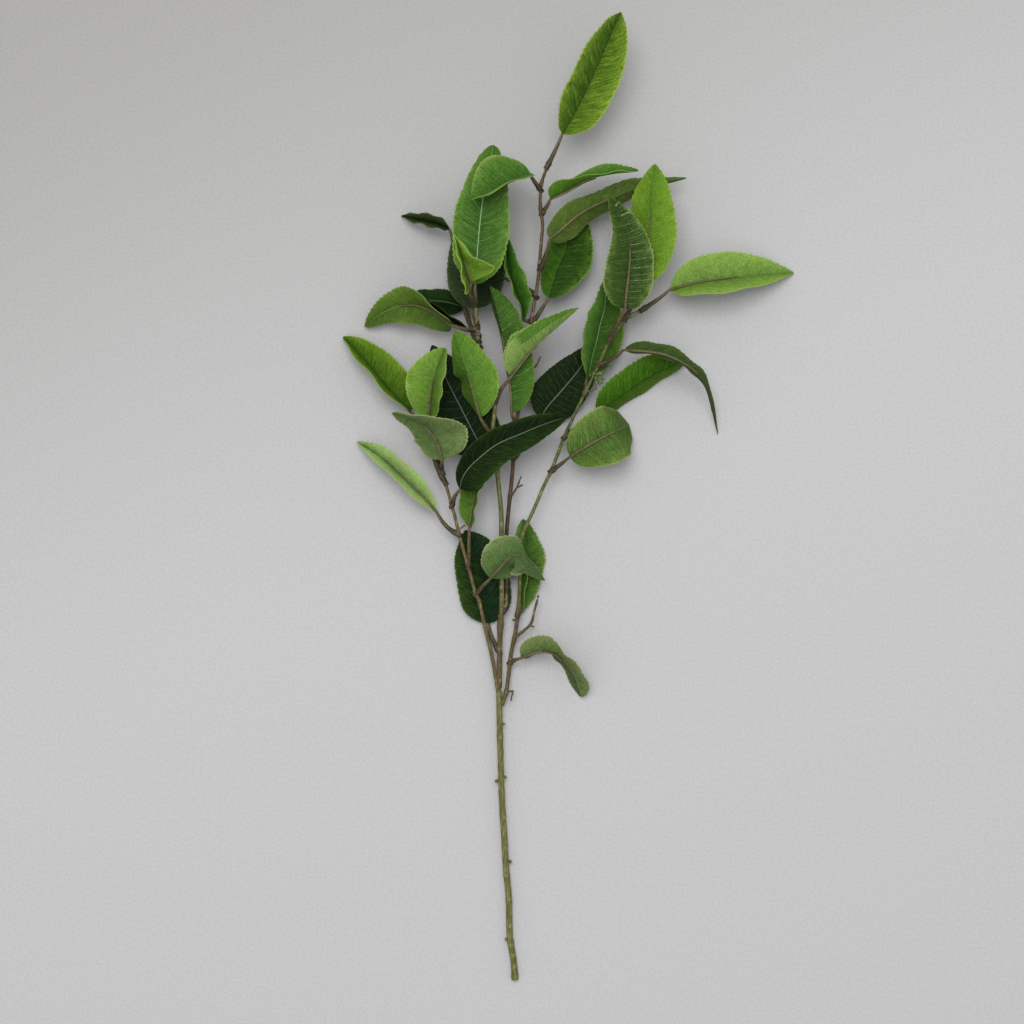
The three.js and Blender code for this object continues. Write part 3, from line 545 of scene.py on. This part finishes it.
class Nodes:
    """A material's node tree, with short calls for the nodes that the finishes share."""

    def __init__(self, name):
        self.material = bpy.data.materials.new(name)
        self.material.use_nodes = True
        self.tree = self.material.node_tree
        self.shader = self.tree.nodes["Principled BSDF"]
        coordinates = self.add("ShaderNodeTexCoord")
        self.place = coordinates.outputs["Object"]
        self.uv = coordinates.outputs["UV"]

    def add(self, kind, **settings):
        node = self.tree.nodes.new(kind)
        for key, value in settings.items():
            setattr(node, key, value)
        return node

    def link(self, source, target):
        self.tree.links.new(source, target)

    def split(self, vector):
        node = self.add("ShaderNodeSeparateXYZ")
        self.link(vector, node.inputs[0])
        return node.outputs

    def math(self, operation, a, b=None, c=None):
        node = self.add("ShaderNodeMath", operation=operation)
        for socket, value in zip(node.inputs, (a, b, c)):
            if value is None:
                continue
            if isinstance(value, (int, float)):
                socket.default_value = value
            else:
                self.link(value, socket)
        return node.outputs[0]

    def ramp(self, value, low, high, to_low=0.0, to_high=1.0):
        node = self.add("ShaderNodeMapRange", interpolation_type="SMOOTHSTEP")
        self.link(value, node.inputs["Value"])
        node.inputs["From Min"].default_value = low
        node.inputs["From Max"].default_value = high
        node.inputs["To Min"].default_value = to_low
        node.inputs["To Max"].default_value = to_high
        return node.outputs["Result"]

    def blend(self, share, a, b, kind="MIX"):
        node = self.add("ShaderNodeMix", data_type="RGBA", blend_type=kind)
        color_sockets = (node.inputs[0], node.inputs[6], node.inputs[7])
        for socket, value in zip(color_sockets, (share, a, b)):
            if isinstance(value, (int, float, tuple)):
                socket.default_value = value
            else:
                self.link(value, socket)
        return node.outputs[2]

    def noise(self, coordinates, scale, detail=3.0, roughness=0.55, stretch=None):
        if stretch:
            mapping = self.add("ShaderNodeMapping")
            mapping.inputs["Scale"].default_value = stretch
            self.link(coordinates, mapping.inputs["Vector"])
            coordinates = mapping.outputs["Vector"]
        node = self.add("ShaderNodeTexNoise")
        node.inputs["Scale"].default_value = scale
        node.inputs["Detail"].default_value = detail
        node.inputs["Roughness"].default_value = roughness
        self.link(coordinates, node.inputs["Vector"])
        return node.outputs["Fac"]

    def surface(self, color, roughness, shine):
        self.link(color, self.shader.inputs["Base Color"])
        self.shader.inputs["Roughness"].default_value = roughness
        self.shader.inputs["Specular IOR Level"].default_value = shine

    def bump(self, height, strength, distance):
        node = self.add("ShaderNodeBump")
        node.inputs["Strength"].default_value = strength
        node.inputs["Distance"].default_value = distance
        self.link(height, node.inputs["Height"])
        self.link(node.outputs["Normal"], self.shader.inputs["Normal"])


# Printed cloth: veins along a blade, how far they slant towards its tip, fine lines between two veins,
# width of the line that shows the rib, and what is left of the veins and pleats on the hidden face.
VEINS = 16
VEIN_SLANT = 2.1
FINE_PER_VEIN = 3
RIB_LINE = 0.85
HIDDEN_VEINS = 0.15
HIDDEN_PLEATS = 0.4

# Leaves whose veins slant less, with veins mostly on the right half, or with a band of painted fold shade
# along the edge of their upper part.
STRAIGHT_VEINS = {
    "leaf_veined": 0.3,
    "leaf_center_long": 0.9,
    "leaf_dark_right": 1.3,
    "leaf_dark_left": 1.5,
    "leaf_round_right": 1.5,
}
VEINS_ON_RIGHT = ("leaf_veined",)
PAINTED_FOLD_SHADE = {"leaf_diagonal": (84, 132, 52)}

# Cloth: its colour's share of the screen colour, tints of its shaded patches, of the painted shade in its
# furrows and of its weave, sizes of its patterns in repeats a metre, and depth of its relief in metres.
CLOTH_TONE = (0.84, 0.74, 0.5)
SHADED_TINT = (0.56, 0.64, 0.6, 1.0)
FURROW_SHADE_TINT = (0.34, 0.4, 0.3, 1.0)
WEAVE_DARK = (0.6, 0.64, 0.58, 1.0)
WEAVE_PALE = (1.42, 1.36, 1.4, 1.0)
WANDER_SCALE = 45.0
PATCH_SCALE = 150.0
WEAVE_SCALE = 1150.0
CLOTH_ROUGHNESS = 0.7
CLOTH_SHINE = 0.08
RELIEF_DEPTH = 0.0006

# Moulded stems: tint between their streaks, colour of their pale spots, sizes of both patterns.
STREAK_TINT = (0.42, 0.38, 0.28, 1.0)
STEM_SPOTS = (168, 152, 110)
STREAK_SCALE = 900.0
MOTTLE_SCALE = 160.0
STEM_ROUGHNESS = 0.55
SLEEVE_ROUGHNESS = 0.5
STEM_SHINE = 0.35


def cloth(color):
    """A leaf's screen colour as the linear base colour of its printed cloth."""
    red, green, blue, alpha = linear(color)
    return (red * CLOTH_TONE[0], green * CLOTH_TONE[1], blue * CLOTH_TONE[2], alpha)


def vein_lines(nodes, signed, along, slant, one_sided):
    """Lines that slant from the rib to the edge: noise that follows them, veins, and finer lines."""
    across = nodes.math("ABSOLUTE", signed)
    slanted = nodes.math("MULTIPLY_ADD", across, -slant, nodes.math("MULTIPLY", along, VEINS))
    slanted = nodes.math("MULTIPLY_ADD", nodes.noise(nodes.place, WANDER_SCALE, 3.0), 1.2, slanted)
    lines = nodes.add("ShaderNodeCombineXYZ")
    nodes.link(slanted, lines.inputs["X"])
    nodes.link(signed, lines.inputs["Y"])
    fibres = nodes.noise(lines.outputs[0], 4.0, 3.0, 0.75, (1.6, 0.35, 1.0))
    breaks = nodes.noise(lines.outputs[0], 2.0, 3.0, 0.6, (0.8, 2.4, 1.0))
    inside = nodes.ramp(across, 0.6, 0.98, 1.0, 0.1)
    if one_sided:
        inside = nodes.math("MULTIPLY", inside, nodes.ramp(signed, -0.05, 0.05, 0.15, 1.0))

    def line(count, width, gap_low, gap_high):
        turn = nodes.math("MULTIPLY", slanted, count)
        away = nodes.math("ABSOLUTE", nodes.math("SUBTRACT", nodes.math("FRACT", turn), 0.5))
        kept = nodes.math("MULTIPLY", inside, nodes.ramp(breaks, gap_low, gap_high))
        return nodes.math("MULTIPLY", nodes.ramp(away, 0.0, width, 1.0, 0.0), kept)

    return fibres, line(1.0, 0.06, 0.28, 0.54), line(FINE_PER_VEIN, 0.16, 0.44, 0.66)


def halves_with_painted_light(nodes, signed, along, patches, left, right, rim, fold_shade):
    """The two halves' colours, partly painted light, shaded in patches and paler at the edge, darkened by
    painted fold shade where a leaf has it, and the colour of that edge.
    """
    across = nodes.math("ABSOLUTE", signed)
    # Left and right colours, partly painted light that undoes the shade of tilted halves.
    halves = nodes.blend(nodes.ramp(signed, -0.02, 0.02), cloth(left), cloth(right))
    shaded = nodes.blend(1.0, halves, SHADED_TINT, "MULTIPLY")
    shade = nodes.math("MULTIPLY_ADD", patches, 1.1, nodes.math("MULTIPLY", across, 0.6))
    color = nodes.blend(nodes.ramp(shade, 0.4, 1.0), shaded, halves)
    edge = cloth(rim)
    if fold_shade:
        # Painted fold shade: the outer part of the upper blade, its rim too, darkened where the blade folds.
        band = nodes.math("MULTIPLY", nodes.ramp(along, 0.36, 0.46), nodes.ramp(across, 0.47, 0.53))
        color = nodes.blend(band, color, cloth(fold_shade))
        edge = nodes.blend(band, edge, cloth(fold_shade))
    glow = nodes.math("MULTIPLY", nodes.ramp(across, 0.5, 1.05), nodes.ramp(patches, 0.35, 0.7, 0.1, 0.75))
    return nodes.blend(glow, color, edge), edge


def leaf_material(leaf_name, half, face):
    """Printed cloth: two halves, a rib line, broken slanted veins, fibres along them with painted shade in
    their furrows and a painted highlight on their ridges, a frayed rim.
    """
    left, right, away, rim, rib, vein, vein_strength, pleat_strength = LEAF_LOOKS[leaf_name]
    one_sided = leaf_name in VEINS_ON_RIGHT
    fold_shade = PAINTED_FOLD_SHADE.get(leaf_name)
    if face == "hidden":
        left = right = away
        vein_strength, pleat_strength = HIDDEN_VEINS, HIDDEN_PLEATS
        one_sided, fold_shade = False, None
    rib_width = RIB_LINE / half
    nodes = Nodes(leaf_name + "_" + face)
    uv = nodes.split(nodes.uv)
    signed = nodes.math("MULTIPLY_ADD", uv["X"], 2.0, -1.0)
    across = nodes.math("ABSOLUTE", signed)
    patches = nodes.noise(nodes.place, PATCH_SCALE, 5.0, 0.65)
    weave = nodes.noise(nodes.place, WEAVE_SCALE, 2.0, 0.8)
    slant = STRAIGHT_VEINS.get(leaf_name, VEIN_SLANT)
    fibres, veins, fine = vein_lines(nodes, signed, uv["Y"], slant, one_sided)
    color, edge = halves_with_painted_light(nodes, signed, uv["Y"], patches, left, right, rim, fold_shade)
    # Painted shade in the pleats' furrows and a painted highlight on their ridges.
    furrow_shade = nodes.ramp(fibres, 0.36, 0.56, 0.85 * pleat_strength, 0.0)
    color = nodes.blend(furrow_shade, color, FURROW_SHADE_TINT, "MULTIPLY")
    ridge_highlight = nodes.ramp(fibres, 0.52, 0.7, 0.0, 0.4 * pleat_strength)
    color = nodes.blend(ridge_highlight, color, edge)
    color = nodes.blend(nodes.math("MULTIPLY", fine, 0.55 * vein_strength), color, linear(vein))
    color = nodes.blend(nodes.math("MULTIPLY", veins, vein_strength), color, linear(vein))
    from_rib = nodes.math("MULTIPLY_ADD", weave, 0.3 * rib_width, across)
    color = nodes.blend(nodes.ramp(from_rib, 0.4 * rib_width, rib_width, 0.9, 0.0), color, linear(rib))
    speckle = nodes.blend(nodes.ramp(weave, 0.34, 0.66), WEAVE_DARK, WEAVE_PALE)
    color = nodes.blend(1.0, color, speckle, "MULTIPLY")
    fray = nodes.math("MULTIPLY_ADD", weave, 0.13, across)
    color = nodes.blend(nodes.ramp(fray, 0.97, 1.05, 0.0, 0.95), color, edge)
    nodes.surface(color, CLOTH_ROUGHNESS, CLOTH_SHINE)
    relief = nodes.math("MULTIPLY_ADD", weave, 0.5, nodes.math("MULTIPLY", fibres, 1.3 * pleat_strength))
    nodes.bump(nodes.math("MULTIPLY_ADD", veins, 0.5, relief), 0.8, RELIEF_DEPTH)
    return nodes.material


def stem_material(name, low_color, high_color, low_y, high_y):
    """Moulded stem: streaked and mottled, from one colour at its lower end to another further up."""
    nodes = Nodes(name)
    streaks = nodes.noise(nodes.place, STREAK_SCALE, 4.0, 0.65, (1.0, 0.12, 1.0))
    mottle = nodes.noise(nodes.place, MOTTLE_SCALE, 4.0, 0.6)
    rise = nodes.math("MULTIPLY_ADD", mottle, 0.03, nodes.split(nodes.place)["Y"])
    level = nodes.ramp(rise, (low_y + SHIFT.y) * MM, (high_y + SHIFT.y) * MM)
    color = nodes.blend(level, linear(low_color), linear(high_color))
    dark = nodes.blend(1.0, color, STREAK_TINT, "MULTIPLY")
    color = nodes.blend(nodes.ramp(streaks, 0.42, 0.66), dark, color)
    color = nodes.blend(nodes.ramp(mottle, 0.52, 0.72, 0.0, 0.45), color, linear(STEM_SPOTS))
    nodes.surface(color, STEM_ROUGHNESS, STEM_SHINE)
    nodes.bump(nodes.math("MULTIPLY_ADD", mottle, 0.6, streaks), 0.6, RELIEF_DEPTH)
    return nodes.material


def sleeve_material(name, dark_color, pale_color):
    """Sleeve and rib: dark brown with pale streaks that run along it, darkest at the open end."""
    nodes = Nodes(name)
    streaks = nodes.noise(nodes.uv, 6.0, 3.0, 0.6, (3.0, 1.2, 1.0))
    mottle = nodes.noise(nodes.place, 420.0, 3.0, 0.6)
    share = nodes.math("MULTIPLY_ADD", mottle, 0.5, streaks)
    share = nodes.math("SUBTRACT", share, nodes.ramp(nodes.split(nodes.uv)["Y"], 0.1, 0.5, 0.16, 0.0))
    color = nodes.blend(nodes.ramp(share, 0.56, 0.86), linear(dark_color), linear(pale_color))
    nodes.surface(color, SLEEVE_ROUGHNESS, STEM_SHINE)
    nodes.bump(share, 0.7, RELIEF_DEPTH)
    return nodes.material


def floret_material(name, low_color, high_color):
    """A mottled finish between two greens."""
    nodes = Nodes(name)
    mottle = nodes.noise(nodes.place, 500.0, 4.0, 0.6)
    color = nodes.blend(nodes.ramp(mottle, 0.3, 0.7), linear(low_color), linear(high_color))
    nodes.surface(color, 0.6, 0.5)
    nodes.bump(mottle, 0.3, 0.0004)
    return nodes.material


# Blades

def outline(shape, v):
    """Half-width of a blade along its length, as a share of its widest."""
    widest, pointed = shape

    def bulge(t):
        return (t ** widest * (1 - t) ** (1 - widest)) ** pointed

    return bulge(v) / bulge(widest)


def tilt_at(stops, v):
    """A half's tilt at v, with the corners between its stops rounded off."""
    def straight(t):
        place = min(max(t, 0.0), 1.0) * (len(stops) - 1)
        stop = min(int(place), len(stops) - 2)
        return mix(stops[stop], stops[stop + 1], place - stop)

    return math.radians((straight(v - TILT_WINDOW) + 2 * straight(v) + straight(v + TILT_WINDOW)) / 4)


def blade_frame(route, v):
    """The rib point at v, the level direction to its right and the direction off its face."""
    along = (route.at(v + RIB_WINDOW) - route.at(v - RIB_WINDOW)).normalized()
    side = along.cross(UP).normalized()
    return route.at(v), side, side.cross(along)


def half_directions(side, face, hand, tilt):
    """The directions from the rib out along a tilted half, and off that half's face."""
    outward = side * hand * math.cos(tilt) + face * math.sin(tilt)
    off_face = face * math.cos(tilt) - side * hand * math.sin(tilt)
    return outward, off_face


def tooth(v):
    """How much of a tooth's depth is left at v: it swells slowly and drops back at once."""
    phase = (v * TEETH) % 1.0
    return mix(TOOTH_START, 1.0, phase ** TOOTH_SWELL)


def bend_blade(sheet, row, seed):
    """Copies the flat sheet and bends it into one leaf: outline, teeth, tilt, cup and waves."""
    name, shoot, seen, half, shape, left, right, stalk, rib = row
    blade = copy_of(sheet, name + "_blade")
    route = route_through(rib)
    rng = random.Random(seed)
    waves = [(rng.uniform(*WAVE_COUNTS), rng.uniform(0, 2 * math.pi)) for side in (-1, 1)]
    deepest = TOOTH_DEPTH * TOOTH_SHARES.get(name, 1.0)
    depths = [deepest * rng.uniform(*TOOTH_VARIATION) for number in range(TEETH + 1)]
    frames = {}
    for vertex in blade.data.vertices:
        u = vertex.co.x
        v = (vertex.co.y + 1) / 2
        key = round(v, 5)
        if key not in frames:
            width = half * outline(shape, v) if 0 < v < 1 else 0.0
            cut = depths[int(v * TEETH)] * (1 - tooth(v)) * smooth(0.0, 6.0, width)
            frames[key] = (*blade_frame(route, v), width, cut, tilt_at(left, v), tilt_at(right, v))
        spot, side, face, width, cut, tilt_left, tilt_right = frames[key]
        hand = -1 if u < 0 else 1
        outward, off_face = half_directions(side, face, hand, tilt_left if u < 0 else tilt_right)
        reach = abs(u) * width - cut * smooth(0.8, 1.0, abs(u))
        count, phase = waves[0 if u < 0 else 1]
        wave = math.sin(2 * math.pi * count * v + phase) * WAVE * abs(u) ** 2 * smooth(0.0, 12.0, width)
        cup = CUP * math.sin(math.pi * abs(u)) * smooth(0.0, 14.0, width)
        vertex.co = in_frame(spot + outward * reach + off_face * (wave + cup), BLADE_THICKNESS / 2)
    return blade


def make_leaf(sheet, row, seed):
    name = row[0]
    half = row[3]
    blade = bend_blade(sheet, row, seed)
    blade.data.materials.append(leaf_material(name, half, "shown"))
    blade.data.materials.append(leaf_material(name, half, "hidden"))
    merge_points(blade, False)
    solid = blade.modifiers.new("thickness", "SOLIDIFY")
    solid.thickness = BLADE_THICKNESS * MM
    solid.offset = 0.0
    solid.material_offset = 1
    bpy.ops.object.modifier_apply(modifier="thickness")
    finish_piece(blade, [name], "leaf", BLADE_ANGLE)


# Stems

def tube(sheet, name, route_at, radius_at, grooves=0, groove_depth=0.0):
    """Rolls a copy of the flat sheet into a closed bar along a curve; t runs from 0 to 1."""
    piece = copy_of(sheet, name)
    window = 0.02
    frames = {}
    for vertex in piece.data.vertices:
        turn = math.pi * (vertex.co.x + 1)
        t = (vertex.co.y + 1) / 2
        key = round(t, 5)
        if key not in frames:
            along = (route_at(min(t + window, 1.0)) - route_at(max(t - window, 0.0))).normalized()
            side = along.cross(UP).normalized()
            frames[key] = (route_at(t), side, side.cross(along), radius_at(t))
        spot, side, rise, radius = frames[key]
        radius *= 1 + groove_depth * math.sin(grooves * turn)
        vertex.co = in_frame(spot + side * radius * math.cos(turn) + rise * radius * math.sin(turn))
    merge_points(piece, True)
    return piece


def rounded_ends(t, length, radius):
    """Closes a bar's radius down over its last bit at both ends."""
    reach = min(radius / length, 0.5)
    near = min(t, 1 - t) / reach
    return radius * math.sqrt(max(0.0, 1 - (1 - min(near, 1.0)) ** 2))


def knob(name, place, size):
    """A small bud: a ball that is joined to its shoot."""
    deselect_all()
    spot = (placed(place) + SHIFT) * MM
    bpy.ops.mesh.primitive_ico_sphere_add(subdivisions=2, radius=size * MM, location=spot)
    bud = bpy.context.object
    bud.name = name
    bpy.ops.object.transform_apply(location=True, rotation=False, scale=False)
    return bud


def shoot_body(sheet, row):
    """A shoot's bar, swollen at its knots."""
    name, slot, start_radius, end_radius, places = row
    route = route_through(places)
    length = length_of(places)

    def radius_at(t):
        spot = route.at(t)
        radius = mix(start_radius, end_radius, t)
        for y, extra, spread in KNOTS[name]:
            radius += extra * math.exp(-((spot.y - y) / spread) ** 2)
        return rounded_ends(t, length, radius)

    return tube(sheet, name + "_body", route.at, radius_at)


def twig(sheet, number, row):
    """A bare twiglet of uneven thickness."""
    shoot, start_radius, end_radius, places = row
    route = route_through(places)
    length = length_of(places)

    def radius_at(t):
        wobble = 0.25 * math.sin(9 * t + number) ** 4
        return rounded_ends(t, length, mix(start_radius, end_radius, t) + wobble)

    return tube(sheet, shoot + "_twig", route.at, radius_at)


def sleeve_route(row):
    """Centres of a leaf's stalk and rib: the rib lies under the blade's lower face, clear of both halves."""
    name, shoot, seen, half, shape, left, right, stalk, rib = row
    route = route_through(rib)
    lower = 0.0 if seen == "under" else math.pi
    centres = []
    for i in range(RIB_STEPS + 1):
        v = i * RIB_REACH / RIB_STEPS
        spot, side, face = blade_frame(route, v)
        tilt_left = tilt_at(left, v)
        tilt_right = tilt_at(right, v)
        opening = (math.pi - tilt_left - tilt_right) / 2
        room = min(math.pi - opening if lower else opening, math.pi / 2)
        turn = (math.pi + tilt_right - tilt_left) / 2 + lower
        radius = mix(RIB_RADIUS, RIB_END_RADIUS, i / RIB_STEPS)
        off = (radius + SOLID_BLADE_THICKNESS / 2 + GLUE_FILM) / math.sin(room)
        centres.append(spot + side * off * math.cos(turn) + face * off * math.sin(turn))
    approach = Route([placed(p) for p in stalk] + [centres[0]])
    before = [approach.at(i / STALK_STEPS) for i in range(STALK_STEPS)]
    inwards = (before[0] - approach.at(0.08)).normalized() * SLEEVE_SUNK
    return Route([before[0] + inwards] + before + centres)


def sleeve(sheet, row):
    """A leaf's stalk and rib as one moulding, with a ring round its open end."""
    route = sleeve_route(row)
    joint = (STALK_STEPS + 1) / (STALK_STEPS + 1 + RIB_STEPS)
    start = 0.012
    closing = 0.02

    def radius_at(t):
        if t < start:
            return 0.0
        lip = LIP_HEIGHT * math.exp(-((t - LIP_PLACE) / LIP_SPREAD) ** 2)
        if t < joint:
            radius = mix(STALK_RADIUS, RIB_RADIUS, t / joint)
        else:
            radius = mix(RIB_RADIUS, RIB_END_RADIUS, (t - joint) / (1 - joint))
        return (radius + lip) * math.sqrt(min(1.0, (1 - t) / closing))

    return tube(sheet, row[0] + "_sleeve", route.at, radius_at, SLEEVE_GROOVES, GROOVE_DEPTH)


def side_rib(sheet, row, v, hand, reach):
    """A short brown branch of the rib, glued on one half of a blade."""
    name, shoot, seen, half, shape, left, right, stalk, rib = row
    route = route_through(rib)
    tilt = tilt_at(left if hand < 0 else right, v)

    def at(t):
        spot, side, face = blade_frame(route, v + SIDE_RIB_LEAN * t)
        outward, off_face = half_directions(side, face, hand, tilt)
        cup = CUP * math.sin(math.pi * reach * t / half)
        return spot + outward * reach * t + off_face * (cup + SIDE_RIB_HEIGHT)

    return tube(sheet, name + "_side_rib", at, lambda t: rounded_ends(t, reach, mix(*SIDE_RIB_RADII, t)))


def make_shoot(sheets, row, sleeve_brown):
    """A shoot with its twiglets and buds, and the sleeves of the leaves that it carries."""
    name, slot = row[:2]
    bars = [shoot_body(sheets["stem"], row)]
    bars += [twig(sheets["twig"], i, twig_row) for i, twig_row in enumerate(TWIGS) if twig_row[0] == name]
    bars += [knob(name + "_bud", place, size) for place, size in BUDS[name]]
    body = join(bars, name + "_moulding", stem_material(name + "_bark", *STEM_LOOKS[name]))
    finish_piece(body, [name], slot)
    carried = [leaf for leaf in LEAVES if leaf[1] == name]
    sleeves = [sleeve(sheets["sleeve"], leaf) for leaf in carried]
    branched = [leaf for leaf in carried if leaf[0] in SIDE_RIBS]
    sleeves += [side_rib(sheets["twig"], leaf, *SIDE_RIBS[leaf[0]]) for leaf in branched]
    if sleeves:
        finish_piece(join(sleeves, name + "_sleeves", sleeve_brown), [], slot)


def floret_cluster(name, place):
    """The small green flower cluster: a handful of buds round their own stalk."""
    rng = random.Random(3)
    buds = []
    for i in range(FLORETS):
        spot = [middle + rng.uniform(*spread) for middle, spread in zip(place, FLORET_SPREAD)]
        buds.append(knob(name, spot, rng.uniform(*FLORET_RADII)))
    cluster = join(buds, name, floret_material("floret_green", FLORET_DARK, FLORET_PALE))
    finish_piece(cluster, [], "leaf")


# Camera, light and floor

PHOTO_WIDTH = 1024
SENSOR = 36.0
FARTHEST_SEEN = 100
PANEL_PLACE = (-0.3, 1.2, 3.8)
PANEL_SIZE = 2.3
PANEL_POWER = 108
SKY_COLOR = (1.0, 1.0, 0.99, 1.0)
SKY_STRENGTH = 0.72
FLOOR_SIZE = 80
# The table's colour in its painted shade at the upper left, and where it is palest.
FLOOR_DARK = (152, 151, 149)
FLOOR_PALE = (180, 180, 181)
GRAIN_SCALE = 380.0
GRAIN_DARK = (0.93, 0.93, 0.93, 1.0)
GRAIN_PALE = (1.05, 1.05, 1.05, 1.0)


def add_camera():
    deselect_all()
    eye = Vector((SHIFT.x, SHIFT.y, EYE_HEIGHT)) * MM
    bpy.ops.object.camera_add(location=eye, rotation=(0, 0, 0))
    camera = bpy.context.object
    camera.data.sensor_width = SENSOR
    camera.data.lens = SENSOR * EYE_HEIGHT / PHOTO_WIDTH
    camera.data.clip_end = FARTHEST_SEEN
    bpy.context.scene.camera = camera


def add_light():
    deselect_all()
    bpy.ops.object.light_add(type="AREA", location=PANEL_PLACE)
    panel = bpy.context.object
    panel.name = "soft_panel"
    panel.rotation_euler = Vector(PANEL_PLACE).to_track_quat("Z", "Y").to_euler()
    panel.data.size = PANEL_SIZE
    panel.data.energy = PANEL_POWER
    world = bpy.data.worlds.new("room")
    bpy.context.scene.world = world
    world.use_nodes = True
    sky = world.node_tree.nodes["Background"]
    sky.inputs["Color"].default_value = SKY_COLOR
    sky.inputs["Strength"].default_value = SKY_STRENGTH
    bpy.context.scene.view_settings.view_transform = "Standard"


def floor_material():
    """Pale paper: a fine grain, and painted shade that makes it a little darker towards the upper left."""
    nodes = Nodes("pale_table")
    parts = nodes.split(nodes.place)
    # Painted shade: the table darkens towards the upper left.
    diagonal = nodes.math("SUBTRACT", nodes.math("MULTIPLY", parts["X"], 0.4), parts["Y"])
    plain = nodes.blend(nodes.ramp(diagonal, -0.85, 0.05), linear(FLOOR_DARK), linear(FLOOR_PALE))
    grain = nodes.noise(nodes.place, GRAIN_SCALE, 4.0, 0.75)
    grained = nodes.blend(nodes.ramp(grain, 0.3, 0.7), GRAIN_DARK, GRAIN_PALE)
    nodes.surface(nodes.blend(1.0, plain, grained, "MULTIPLY"), 0.85, 0.15)
    nodes.bump(grain, 0.35, RELIEF_DEPTH)
    return nodes.material


def add_floor():
    deselect_all()
    bpy.ops.mesh.primitive_plane_add(size=FLOOR_SIZE, location=(0, 0, 0))
    floor = bpy.context.object
    floor.name = "table_top"
    floor.data.materials.append(floor_material())


add_camera()
add_light()
add_floor()

sheets = {
    "blade": unit_sheet("flat_blade", 2 * COLUMNS, TEETH * TOOTH_ROWS),
    "stem": unit_sheet("flat_stem", *STEM_MESH),
    "twig": unit_sheet("flat_twig", *TWIG_MESH),
    "sleeve": unit_sheet("flat_sleeve", *SLEEVE_MESH),
}
brown = sleeve_material("sleeve_brown", SLEEVE_DARK, SLEEVE_PALE)
for shoot_row in SHOOTS:
    make_shoot(sheets, shoot_row, brown)
for leaf_number, leaf_row in enumerate(LEAVES):
    make_leaf(sheets["blade"], leaf_row, leaf_number)
floret_cluster("floret_cluster", FLORET_PLACE)
for sheet in sheets.values():
    bpy.data.objects.remove(sheet)
